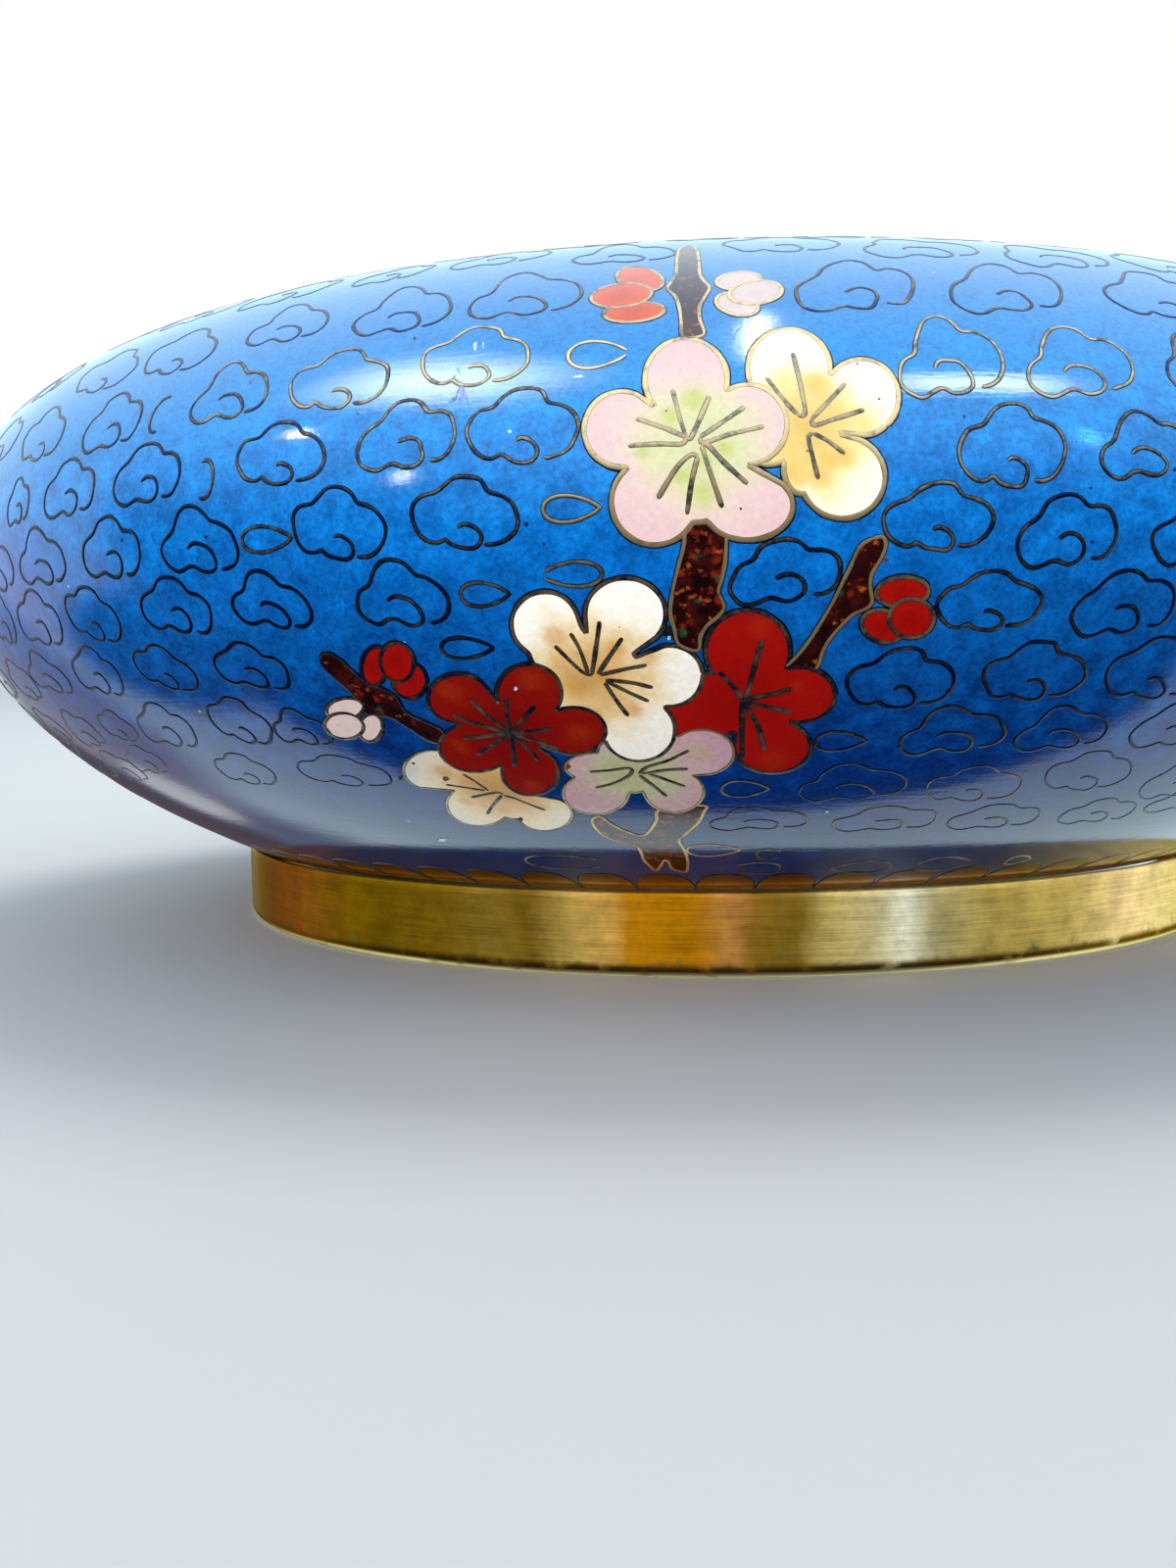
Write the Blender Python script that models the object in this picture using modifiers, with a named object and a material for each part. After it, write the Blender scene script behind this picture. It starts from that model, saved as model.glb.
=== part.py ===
# Cloisonne bowl: a squat, wide bowl whose rounded side turns in to a level shoulder,
# on a plain turned foot ring, with a slim brass lip round the mouth.
# Metres, +Z up. The origin is the middle of the underside of the foot ring, and the
# bowl's axis is Z.

import math

import bpy

# Driving dimensions
MAX_RADIUS = 0.100          # the belly at its widest, a bowl 200 mm across
BELT_HEIGHT = 0.0465        # height of the widest line above the table
SHOULDER_RISE = 0.02825     # from the widest line up to the level shoulder
MOUTH_RADIUS = 0.054        # cut edge of the vessel at the mouth
LOWER_DROP = 0.0488         # half height of the ellipse that the lower side follows
WALL = 0.0022               # copper with a coat of enamel on each side

FOOT_RADIUS = 0.065         # outer wall of the foot ring
FOOT_THICKNESS = 0.0035
FOOT_EDGE_ROUND = 0.0012    # rounded outer bottom edge
FOOT_INNER_ROUND = 0.0007

LIP_THICKNESS = 0.0015      # upright band inside the mouth
LIP_DEPTH = 0.0024          # how far the band reaches below the shoulder
LIP_OVERHANG = 0.0013       # how far the bead laps over the enamel
LIP_BEAD_HEIGHT = 0.00125
LIP_ROUND = 0.0006

GAP = 0.0003                # clearance between pieces that touch
SEAT_GAP = 0.00035          # the same, measured upright under the sloping base

# Fineness of the turned surfaces
SEGMENTS = 80
SHOULDER_STEPS = 8
LOWER_STEPS = 11
ROUND_STEPS = 2
MERGE_DISTANCE = 0.00001
SHARP_ANGLE = math.radians(35)

FOOT_INNER_RADIUS = FOOT_RADIUS - FOOT_THICKNESS
SHOULDER_HEIGHT = BELT_HEIGHT + SHOULDER_RISE


def srgb(hex_colour):
    """Linear RGBA from a plain sRGB hex colour."""
    channels = [int(hex_colour[i:i + 2], 16) / 255 for i in (0, 2, 4)]
    linear = [c / 12.92 if c <= 0.04045 else ((c + 0.055) / 1.055) ** 2.4 for c in channels]
    return (*linear, 1.0)


def make_material(name, hex_colour, roughness, metallic):
    material = bpy.data.materials.new(name)
    material.use_nodes = True
    shader = material.node_tree.nodes["Principled BSDF"]
    shader.inputs["Base Color"].default_value = srgb(hex_colour)
    shader.inputs["Roughness"].default_value = roughness
    shader.inputs["Metallic"].default_value = metallic
    material.diffuse_color = srgb(hex_colour)
    return material


def clear_scene():
    for item in list(bpy.data.objects):
        bpy.data.objects.remove(item, do_unlink=True)


def arc(centre_x, centre_z, radius, start_degrees, end_degrees, steps=ROUND_STEPS):
    """Points of a round edge, both ends included."""
    points = []
    for i in range(steps + 1):
        angle = math.radians(start_degrees + (end_degrees - start_degrees) * i / steps)
        points.append((centre_x + radius * math.cos(angle), centre_z + radius * math.sin(angle)))
    return points


def underside_height(radius):
    """Height of the vessel's outer surface at a radius, on its lower ellipse."""
    return BELT_HEIGHT - LOWER_DROP * math.sqrt(1 - (radius / MAX_RADIUS) ** 2)


def turn(name, profile, closed, collection, material):
    """An object with a profile in the XZ plane, turned round the Z axis."""
    edges = [(i, i + 1) for i in range(len(profile) - 1)]
    if closed:
        edges.append((len(profile) - 1, 0))
    mesh = bpy.data.meshes.new(name)
    mesh.from_pydata([(x, 0.0, z) for x, z in profile], edges, [])
    mesh.materials.append(material)
    piece = bpy.data.objects.new(name, mesh)
    collection.objects.link(piece)
    screw = piece.modifiers.new("turned", "SCREW")
    screw.axis = "Z"
    screw.steps = SEGMENTS
    screw.render_steps = SEGMENTS
    screw.use_merge_vertices = True
    screw.merge_threshold = MERGE_DISTANCE
    screw.use_smooth_shade = True
    return piece


# The vessel: one raised copper shell under enamel, open at the mouth

def vessel_profile():
    """Outer line from the mouth, over the shoulder and belly, to the middle of the base."""
    points = []
    for i in range(SHOULDER_STEPS + 1):
        angle = math.pi / 2 * (1 - i / SHOULDER_STEPS)
        points.append((MOUTH_RADIUS + (MAX_RADIUS - MOUTH_RADIUS) * math.cos(angle),
                       BELT_HEIGHT + SHOULDER_RISE * math.sin(angle)))
    last_angle = math.acos(FOOT_INNER_RADIUS / MAX_RADIUS)
    for i in range(1, LOWER_STEPS + 1):
        angle = last_angle * i / LOWER_STEPS
        points.append((MAX_RADIUS * math.cos(angle), BELT_HEIGHT - LOWER_DROP * math.sin(angle)))
    points.append((0.0, underside_height(FOOT_INNER_RADIUS)))
    return points


def make_vessel(collection):
    enamel = make_material("blue_enamel", "1F5FA8", 0.12, 0.0)
    vessel = turn("bowl_body", vessel_profile(), False, collection, enamel)
    wall = vessel.modifiers.new("wall", "SOLIDIFY")
    wall.thickness = WALL
    wall.offset = -1.0
    wall.use_even_offset = True
    return vessel


# The foot: a plain turned brass ring soldered under the base

def foot_profile():
    points = [(FOOT_RADIUS, underside_height(FOOT_RADIUS) - SEAT_GAP)]
    points += arc(FOOT_RADIUS - FOOT_EDGE_ROUND, FOOT_EDGE_ROUND, FOOT_EDGE_ROUND, 0, -90)
    points += arc(FOOT_INNER_RADIUS + FOOT_INNER_ROUND, FOOT_INNER_ROUND, FOOT_INNER_ROUND, -90, -180)
    points.append((FOOT_INNER_RADIUS, underside_height(FOOT_INNER_RADIUS) - SEAT_GAP))
    return points


def make_foot(collection):
    brass = make_material("foot_brass", "A98A55", 0.38, 1.0)
    return turn("foot_ring", foot_profile(), True, collection, brass)


# The lip: a slim brass band that caps the cut edge of the mouth

def lip_profile():
    inner = MOUTH_RADIUS - GAP - LIP_THICKNESS
    outer = MOUTH_RADIUS + LIP_OVERHANG - GAP
    under = SHOULDER_HEIGHT + GAP
    top = under + LIP_BEAD_HEIGHT
    bottom = SHOULDER_HEIGHT - LIP_DEPTH
    points = [(MOUTH_RADIUS - GAP, bottom), (inner, bottom)]
    points += arc(inner + LIP_ROUND, top - LIP_ROUND, LIP_ROUND, 180, 90)
    points += arc(outer - LIP_ROUND, top - LIP_ROUND, LIP_ROUND, 90, 0)
    points += [(outer, under), (MOUTH_RADIUS - GAP, under)]
    return points


def make_lip(collection):
    brass = make_material("lip_brass", "B8985C", 0.3, 1.0)
    return turn("mouth_rim", lip_profile(), True, collection, brass)


def finish_shading(pieces):
    """Smooth the turned faces and keep the crisp edges."""
    for piece in pieces:
        piece.data.shade_smooth()
        piece.data.set_sharp_from_angle(angle=SHARP_ANGLE)


def main():
    clear_scene()
    collection = bpy.data.collections.new("cloisonne_bowl")
    bpy.context.scene.collection.children.link(collection)
    pieces = [make_vessel(collection), make_foot(collection), make_lip(collection)]
    finish_shading(pieces)


main()
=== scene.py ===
import math
import random
from functools import partial

import bpy
import numpy as np
from mathutils import Matrix, Vector
from mathutils.geometry import delaunay_2d_cdt


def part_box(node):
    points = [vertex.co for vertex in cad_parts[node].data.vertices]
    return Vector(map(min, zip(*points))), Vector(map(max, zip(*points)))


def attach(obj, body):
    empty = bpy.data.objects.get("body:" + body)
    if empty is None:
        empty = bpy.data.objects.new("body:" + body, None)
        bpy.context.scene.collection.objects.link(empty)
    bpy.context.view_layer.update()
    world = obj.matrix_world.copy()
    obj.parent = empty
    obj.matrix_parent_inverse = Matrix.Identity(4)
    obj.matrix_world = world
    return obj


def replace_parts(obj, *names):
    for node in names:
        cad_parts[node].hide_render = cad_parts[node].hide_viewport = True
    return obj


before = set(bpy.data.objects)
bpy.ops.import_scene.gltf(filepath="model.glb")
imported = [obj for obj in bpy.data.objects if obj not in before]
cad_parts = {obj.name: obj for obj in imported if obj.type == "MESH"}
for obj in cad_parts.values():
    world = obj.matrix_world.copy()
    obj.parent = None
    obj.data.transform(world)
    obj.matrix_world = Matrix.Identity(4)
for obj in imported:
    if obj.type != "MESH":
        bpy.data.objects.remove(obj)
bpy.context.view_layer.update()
mm = 0.001


# Camera, at the photo's viewing angle

photo = {
    "width": 1200, "height": 1600,   # pixels
    "focal": 1700,                   # focal length in pixels
    "distance": 233.85,              # mm from the bowl's axis
    "heightMm": 33.64,               # mm above the floor
    "yaw": -4.6, "pitch": -4.53, "roll": -0.917,   # degrees
}


def cameraAxes():
    # Right, up and forward directions of the camera
    yaw, pitch, roll = (math.radians(photo[k]) for k in ("yaw", "pitch", "roll"))
    forward = Vector((math.sin(yaw) * math.cos(pitch), math.cos(yaw) * math.cos(pitch), math.sin(pitch)))
    level = Vector((math.cos(yaw), -math.sin(yaw), 0))
    upright = level.cross(forward)
    right = level * math.cos(roll) + upright * math.sin(roll)
    up = upright * math.cos(roll) - level * math.sin(roll)
    return right, up, forward


eye = Vector((0, -photo["distance"], photo["heightMm"])) * mm
camRight, camUp, camForward = cameraAxes()


def makeCamera():
    data = bpy.data.cameras.new("camera")
    data.sensor_width = 36
    data.lens = photo["focal"] / photo["height"] * data.sensor_width
    data.clip_start = 0.005
    camera = bpy.data.objects.new("camera", data)
    turn = Matrix((camRight, camUp, -camForward)).transposed()
    camera.matrix_world = Matrix.Translation(eye) @ turn.to_4x4()
    bpy.context.scene.collection.objects.link(camera)
    bpy.context.scene.camera = camera


makeCamera()
print("camera ready")


# The bowl's outer side, as a line turned round Z

bowl = {
    "widest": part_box("bowl_body")[1].x,
    "belt": 46.5 * mm,               # height of the widest line
    "mouth": 54 * mm,                # radius of the cut edge
    "shoulder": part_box("bowl_body")[1].z,
    "base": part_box("bowl_body")[0].z,
    "lowerDrop": 48.8 * mm,
    "wall": 2.2 * mm,
    "foot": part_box("foot_ring")[1].x,
    "footWall": 3.5 * mm,
    "segments": 288,
}
lift = {                             # how far each layer stands off the CAD surface
    "ground": -0.048 * mm,
    "cell": -0.026 * mm,
    "flaw": -0.016 * mm,
    "wireFoot": -0.058 * mm,
    "wireCrown": -0.005 * mm,
}


def outerLine(stepsUp=260, stepsDown=420):
    # Radius and height from the foot up to the mouth, in even small steps
    points = []
    lastAngle = math.acos((bowl["foot"] - bowl["footWall"]) / bowl["widest"])
    for i in range(stepsDown + 1):
        a = lastAngle * (1 - i / stepsDown)
        points.append((bowl["widest"] * math.cos(a), bowl["belt"] - bowl["lowerDrop"] * math.sin(a)))
    reach, rise = bowl["widest"] - bowl["mouth"], bowl["shoulder"] - bowl["belt"]
    for i in range(1, stepsUp + 1):
        a = math.pi / 2 * i / stepsUp
        points.append((bowl["mouth"] + reach * math.cos(a), bowl["belt"] + rise * math.sin(a)))
    return np.array(points)


line = outerLine()
lineStep = np.hypot(*np.diff(line, axis=0).T)
lineArc = np.concatenate(([0], np.cumsum(lineStep)))     # distance along the line from the foot
lineTurn = np.gradient(line, lineArc, axis=0)
lineNormal = np.stack((lineTurn[:, 1], -lineTurn[:, 0]), 1)
lineNormal /= np.linalg.norm(lineNormal, axis=1)[:, None]
arcTop = lineArc[-1]


def ringAt(arc):
    # Radius, height and outward normal at a distance along the line
    return [np.interp(arc, lineArc, column) for column in (*line.T, *lineNormal.T)]


def onBowl(angle, arc, off=0.0):
    # Points on the bowl at an angle from the front and a distance up its side
    radius, height, normalOut, normalUp = ringAt(arc)
    radius = radius + normalOut * off
    return np.stack((radius * np.sin(angle), -radius * np.cos(angle), height + normalUp * off), -1)


def normalAt(angle, arc):
    _, _, out, up = ringAt(arc)
    return np.stack((out * np.sin(angle), -out * np.cos(angle), up), -1)


def pixelToBowl(pixels):
    # Angle and distance up the side where the photo's pixels meet the bowl
    pixels = np.asarray(pixels, float).reshape(-1, 2)
    right = (pixels[:, :1] - photo["width"] / 2) / photo["focal"]
    down = (pixels[:, 1:] - photo["height"] / 2) / photo["focal"]
    ray = np.array(camForward) + right * np.array(camRight) - down * np.array(camUp)
    ray /= np.linalg.norm(ray, axis=1)[:, None]

    def gapAt(t):
        p = np.array(eye) + t[..., None] * ray[:, None]
        return np.hypot(p[..., 0], p[..., 1]) - np.interp(p[..., 2], line[:, 1], line[:, 0], left=0, right=0)

    tries = photo["distance"] * mm - bowl["widest"] * np.linspace(1.3, 0, 161)
    gap = gapAt(np.broadcast_to(tries, (len(ray), len(tries))))
    first = np.argmax(gap < 0, 1)
    first = np.where(first > 0, first, np.argmin(gap, 1))   # past the edge: the nearest point of it
    high = tries[first]
    low = high - (tries[1] - tries[0])
    for _ in range(20):
        middle = (low + high) / 2
        out = gapAt(middle[:, None])[:, 0] > 0
        low, high = np.where(out, middle, low), np.where(out, high, middle)
    p = np.array(eye) + high[:, None] * ray
    return np.arctan2(p[:, 0], -p[:, 1]), np.interp(p[:, 2], line[:, 1], lineArc)


def toPixels(points):
    # Where points in space lie in the photo
    away = np.asarray(points) - np.array(eye)
    depth = away @ np.array(camForward)
    across, rise = away @ np.array(camRight) / depth, away @ np.array(camUp) / depth
    return np.stack((photo["width"] / 2 + photo["focal"] * across,
                     photo["height"] / 2 - photo["focal"] * rise), 1)


# Drawing on the bowl: plane points are mm round the widest line and mm up the side

def toPlane(pixels):
    angle, arc = pixelToBowl(pixels)
    return np.stack((angle * bowl["widest"], arc), 1) / mm


def planeToBowl(plane, off):
    plane = np.asarray(plane) * mm
    return onBowl(plane[:, 0] / bowl["widest"], plane[:, 1], off)


def planeNormals(plane):
    plane = np.asarray(plane) * mm
    return normalAt(plane[:, 0] / bowl["widest"], plane[:, 1])


def stretch(arcMm):
    # How much wider the plane is than the bowl at that distance up the side
    return bowl["widest"] / ringAt(np.asarray(arcMm) * mm)[0]


def around(centre, offsets):
    # Real mm offsets from a plane point, as plane points
    offsets = np.asarray(offsets, float)
    arc = centre[1] + offsets[:, 1]
    return np.stack((centre[0] + offsets[:, 0] * stretch(arc), arc), 1)


def realDistance(points, centre):
    # Real mm from a plane point
    offset = points - centre
    return np.hypot(offset[:, 0] / stretch((points[:, 1] + centre[1]) / 2), offset[:, 1])


def planeX(degrees):
    # Degrees from the front, as mm round the widest line
    return math.radians(degrees) * bowl["widest"] / mm


def rotate(points, degrees):
    # Points turned about the origin
    cos, sin = math.cos(math.radians(degrees)), math.sin(math.radians(degrees))
    return np.asarray(points) @ np.array([[cos, sin], [-sin, cos]])


def smoothPath(points, steps=6, closed=False):
    # A smooth curve through given points
    p = np.asarray(points, float)
    ends = (p[-1:], p[:2]) if closed else (2 * p[:1] - p[1:2], 2 * p[-1:] - p[-2:-1])
    p = np.concatenate((ends[0], p, ends[1]))
    t = np.arange(steps)[:, None] / steps
    parts = []
    for a, b, c, d in zip(p, p[1:], p[2:], p[3:]):
        bend = (2 * a - 5 * b + 4 * c - d) * t ** 2 + (3 * b - a - 3 * c + d) * t ** 3
        parts.append(0.5 * (2 * b + (c - a) * t + bend))
    return np.concatenate(parts if closed else parts + [p[-2:-1]])


def evenPath(path, step):
    # The same path with its points an even distance apart
    run = np.concatenate(([0], np.cumsum(np.hypot(*np.diff(path, axis=0).T))))
    at = np.linspace(0, run[-1], max(2, int(round(run[-1] / step)) + 1))
    return np.stack((np.interp(at, run, path[:, 0]), np.interp(at, run, path[:, 1])), 1)


def insideOutline(points, outline):
    # Which points lie inside a closed outline
    x, y = points[:, 0:1], points[:, 1:2]
    ax, ay = outline.T
    bx, by = np.roll(ax, -1), np.roll(ay, -1)
    crosses = (ay > y) != (by > y)
    slope = np.where(by == ay, 1e-9, by - ay)
    return (crosses & (x < (bx - ax) * (y - ay) / slope + ax)).sum(1) % 2 == 1


# Materials

def hexColor(text):
    # sRGB hex to the linear colour that Blender works in
    parts = [int(text[i:i + 2], 16) / 255 for i in (0, 2, 4)]
    return (*[c / 12.92 if c <= 0.04045 else ((c + 0.055) / 1.055) ** 2.4 for c in parts], 1)


def addNode(tree, kind, links=None, out=0, stops=(), **settings):
    # One node with its links, each a socket, a number or a colour, its settings, and a ramp's stops as
    # (position, hex); gives back the output of that name or number
    node = tree.nodes.new("ShaderNode" + kind)
    for key, value in settings.items():
        setattr(node, key, value)
    for i, (position, text) in enumerate(stops):
        elements = node.color_ramp.elements
        element = elements[i] if i < 2 else elements.new(position)
        element.position, element.color = position, hexColor(text)
    for key, value in (links or {}).items():
        if isinstance(value, bpy.types.NodeSocket):
            tree.links.new(value, node.inputs[key])
        else:
            node.inputs[key].default_value = value
    return node.outputs[out]


def newMaterial(name, **sockets):
    material = bpy.data.materials.new(name)
    material.use_nodes = True
    for key, value in sockets.items():
        shader = material.node_tree.nodes["Principled BSDF"]
        shader.inputs[key.replace("_", " ")].default_value = value
    return material, partial(addNode, material.node_tree)


def finish(material, color, height=None, strength=1.0, depthMm=0.1, **sockets):
    # Links the shader's colour, the bumps of its skin and its other sockets
    tree = material.node_tree
    if height is not None:
        sockets["Normal"] = addNode(tree, "Bump", {"Height": height, "Strength": strength,
                                                   "Distance": depthMm * mm})
    for key, value in {"Base Color": color, **sockets}.items():
        tree.links.new(value, tree.nodes["Principled BSDF"].inputs[key])


def perMetre(sizeMm):
    # Scale of a pattern in metres whose marks are about that many mm across
    return 1 / (sizeMm * mm)


def scatter(node, vector, color, sizeMm, edge, channel, share, dot):
    # Marks over a colour; only that share of the pattern's cells hold one, so that they lie scattered
    cell = node("TexVoronoi", {"Vector": vector, "Scale": perMetre(sizeMm)})
    near = node("MapRange", {"Value": cell, "From Min": edge[0], "From Max": edge[1]})
    pick = node("SeparateColor", {"Color": cell.node.outputs["Color"]}, channel)
    chosen = node("Math", {0: pick, 1: share}, operation="LESS_THAN")
    both = node("Math", {0: near, 1: chosen}, operation="MULTIPLY")
    return node("Mix", {"Factor": both, 6: color, 7: hexColor(dot)}, 2, data_type="RGBA")


# Azure enamel: powdered glass fired in coats, ground flush with the wires and polished round the bowl.
# The eye sees a wet gloss over a soft cloudy blue, deeper toward the foot, with fine grains, dark and
# pale specks, and faint polishing lines that make the edges of highlights ragged. Its darkest tone, low
# down by the foot, is painted shadow.

azure = {
    # The foot tone is painted shadow: the shade low on the belly just above the foot ring
    "crown": "0E7CCC", "shoulder": "0A86DA", "body": "0462B2", "low": "012C70", "foot": "03265A",
    "heights": (14, 24, 43, 55, 66),     # mm above the floor at which foot, low, body, shoulder and crown lie
    "cloudMm": 2.4, "grainMm": 0.45, "rippleMm": 14.0, "lineMm": 0.35, "drift": 0.22,
    "roughness": 0.1, "ior": 1.5,
    # Specks: mm apart, size as a share of that, share of the cells and colour
    "specks": ((5.5, 0.05, 0.55, "042258"), (9.0, 0.028, 0.5, "05080F"), (5.5 * 0.83, 0.045, 0.4, "8CC4F4")),
}


def makeAzure():
    material, node = newMaterial("azureEnamelPolished", Roughness=azure["roughness"], IOR=azure["ior"])
    place = node("TexCoord", out="Object")
    cloud = node("TexNoise", {"Vector": place, "Scale": perMetre(azure["cloudMm"]), "Detail": 5,
                              "Roughness": 0.62})
    height = node("SeparateXYZ", {"Vector": place}, "Z")
    share = node("MapRange", {"Value": height, "From Max": bowl["shoulder"],
                              "To Max": bowl["shoulder"] / mm / 100})
    drifted = node("Math", {0: cloud, 1: azure["drift"], 2: share}, operation="MULTIPLY_ADD")
    level = node("Math", {0: drifted, 1: azure["drift"] / 2}, operation="SUBTRACT")
    # Blue by height; its lowest tone is painted shadow
    tones = zip(azure["heights"], ("foot", "low", "body", "shoulder", "crown"))
    tint = node("ValToRGB", {"Fac": level}, stops=[(at / 100, azure[tone]) for at, tone in tones])
    grain = node("TexNoise", {"Vector": place, "Scale": perMetre(azure["grainMm"]), "Detail": 2,
                              "Roughness": 0.7})
    mottle = node("Math", {0: grain, 1: 1.7, 2: cloud}, operation="MULTIPLY_ADD")
    light = node("MapRange", {"Value": mottle, "From Min": 0.95, "From Max": 1.75,
                              "To Min": 0.66, "To Max": 1.36})
    color = node("Mix", {"Factor": 1.0, 6: tint, 7: light}, 2, data_type="RGBA",
                 blend_type="MULTIPLY")
    for apart, radius, share, dot in azure["specks"]:
        color = scatter(node, place, color, apart, (radius, radius * 0.45), "Red", share, dot)
    ripple = node("TexNoise", {"Vector": place, "Scale": perMetre(azure["rippleMm"]), "Detail": 1})
    drawn = node("VectorMath", {0: place, 1: (1, 1, 12)}, operation="MULTIPLY")
    lines = node("TexNoise", {"Vector": drawn, "Scale": perMetre(azure["lineMm"] * 12), "Detail": 3})
    skin = node("Math", {0: ripple, 1: 5.0, 2: lines}, operation="MULTIPLY_ADD")
    skin = node("Math", {0: grain, 1: 0.5, 2: skin}, operation="MULTIPLY_ADD")
    finish(material, color, skin, 1.0, 0.012)
    return material


# Opaque petal enamels, ground flush: two glass powders are laid side by side and melt into each other,
# so the colour of the heart runs softly into that of the tips, and a third lies in soft spots between.

petal = {"mixMm": 2.2, "grainMm": 0.5, "roughness": 0.12, "ior": 1.5}


def makePetalEnamel(name, stops, spot, wander=0.16, grit=0.07, spotShare=0.55):
    material, node = newMaterial(name, Roughness=petal["roughness"], IOR=petal["ior"])
    place = node("TexCoord", out="Object")
    tone, inSpot = (node("Attribute", out="Fac", attribute_name=key) for key in ("tone", "spot"))
    drift = node("TexNoise", {"Vector": place, "Scale": perMetre(petal["mixMm"]), "Detail": 3})
    moved = node("Math", {0: drift, 1: wander * 2, 2: tone}, operation="MULTIPLY_ADD")
    level = node("Math", {0: moved, 1: wander}, operation="SUBTRACT")
    color = node("ValToRGB", {"Fac": level}, stops=stops)
    spotted = node("Math", {0: drift, 1: 0.9, 2: inSpot}, operation="MULTIPLY_ADD")
    share = node("MapRange", {"Value": spotted, "From Min": 0.55, "From Max": 1.35,
                              "To Max": spotShare}, interpolation_type="SMOOTHSTEP")
    color = node("Mix", {"Factor": share, 6: color, 7: hexColor(spot)}, 2, data_type="RGBA")
    grain = node("TexNoise", {"Vector": place, "Scale": perMetre(petal["grainMm"]), "Detail": 3,
                              "Roughness": 0.7})
    light = node("MapRange", {"Value": grain, "From Min": 0.3, "From Max": 0.7,
                              "To Min": 1 - grit, "To Max": 1 + grit})
    color = node("Mix", {"Factor": 1.0, 6: color, 7: light}, 2, data_type="RGBA",
                 blend_type="MULTIPLY")
    finish(material, color, grain, 0.06, 0.05)
    return material


pinkEnamel = makePetalEnamel("pinkPetalEnamel", [
    (0.0, "CBD0A0"), (0.30, "D2D4A4"), (0.50, "DCCDB6"), (0.66, "E0C4C2"), (1.0, "DFBAC0")],
    "B8C45A", spotShare=0.7)
goldWhiteEnamel = makePetalEnamel("yellowWhitePetalEnamel", [
    (0.0, "DDB862"), (0.30, "EACA78"), (0.46, "F5DF9A"), (0.60, "F8F0D2"), (1.0, "F6F4F0")],
    "EBAE3C", wander=0.22)
whiteEnamel = makePetalEnamel("ochreWhitePetalEnamel", [
    (0.0, "BC9658"), (0.26, "D6B074"), (0.40, "E2C892"), (0.53, "EEE0C2"), (0.68, "F4F0E4"), (1.0, "F3F1EA")],
    "CA923E", wander=0.26, spotShare=0.65)
creamEnamel = makePetalEnamel("creamPetalEnamel", [
    (0.0, "B49058"), (0.34, "CFA468"), (0.60, "DDCCA8"), (0.85, "DAD3C0"), (1.0, "C0C8C4")], "BE8A40")
mauveEnamel = makePetalEnamel("mauvePetalEnamel", [
    (0.0, "A0A87C"), (0.30, "B0B48C"), (0.50, "BCA2A0"), (1.0, "B88FA2")], "B4A476", grit=0.13)
redEnamel = makePetalEnamel("redPetalEnamel", [
    (0.0, "860602"), (0.6, "960A03"), (1.0, "860A04")], "A02A0A", grit=0.12, spotShare=0.3)
ripeRedEnamel = makePetalEnamel("rustRedPetalEnamel", [
    (0.0, "680502"), (0.55, "7E0A02"), (1.0, "7C1004")], "9C300C", grit=0.16, spotShare=0.4)
coralEnamel = makePetalEnamel("coralBudEnamel", [
    (0.0, "C44008"), (0.6, "D84E10"), (1.0, "DE5A1A")], "B8380E", grit=0.12)
blushEnamel = makePetalEnamel("blushBudEnamel", [
    (0.0, "D4C4B8"), (0.5, "DCC8C4"), (1.0, "DABCBE")], "CFC0A8")


# Branch enamel: clear brown flux over crushed red, orange and green glass, fired on bare copper.
# It gives a near black ground in which glowing flecks float.

branchLook = {
    "bodyMm": 1.6, "roughness": 0.14, "ior": 1.52,
    "ground": [(0.35, "0C0303"), (0.50, "1E0504"), (0.68, "400E06")],
    "flecks": ((0.8, 0.45, "7E1E08"), (0.5, 0.2, "A0480E"), (0.9, 0.05, "164A2C")),   # mm, share and colour
}


def makeBranchEnamel(name, fleckShare):
    material, node = newMaterial(name, Roughness=branchLook["roughness"], IOR=branchLook["ior"])
    place = node("TexCoord", out="Object")
    body = node("TexNoise", {"Vector": place, "Scale": perMetre(branchLook["bodyMm"]), "Detail": 5,
                             "Roughness": 0.7})
    ragged = node("VectorMath", {0: body.node.outputs["Color"], 1: (2.0 * mm, 2.0 * mm, 1.4 * mm),
                                 2: place}, operation="MULTIPLY_ADD")
    color = node("ValToRGB", {"Fac": body}, stops=branchLook["ground"])
    for size, share, fleck in branchLook["flecks"]:
        color = scatter(node, ragged, color, size, (0.6, 0.1), "Green", share * fleckShare, fleck)
    finish(material, color, body, 0.1, 0.1)
    return material


# Amber enamel of the scallops: a clear glass over copper, so it is warm rust brown, darker at the top
# and with a pale gold lower edge.

amber = {"driftMm": 1.4, "drift": 0.4, "roughness": 0.13, "ior": 1.52,
         "tones": [(0.2, "A08030"), (0.34, "865010"), (0.65, "70340A"), (1.0, "481E0A")]}


def makeAmberEnamel():
    material, node = newMaterial("amberScallopEnamel", Roughness=amber["roughness"], IOR=amber["ior"])
    place = node("TexCoord", out="Object")
    tone = node("Attribute", out="Fac", attribute_name="tone")
    drift = node("TexNoise", {"Vector": place, "Scale": perMetre(amber["driftMm"]), "Detail": 4})
    level = node("Math", {0: drift, 1: amber["drift"], 2: tone}, operation="MULTIPLY_ADD")
    finish(material, node("ValToRGB", {"Fac": level}, stops=amber["tones"]))
    return material


# Brass wire, drawn flat and set on edge: its ground top is thin and tarnished, darker along its rims. Navy is
# painted shade on wire in shadow beside the blue glass; rubbed, it turns brown, and then bright, partly painted
# sheen.

# Crown tones: navy is painted shade, and the brightest is partly painted sheen
wireLook = {"tones": [(0.34, "05264E"), (0.56, "54493C"), (0.72, "8B7C6A"), (1.0, "DCBC86")],
            "rim": "06122A", "patchMm": 2.2, "roughness": 0.3}


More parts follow.
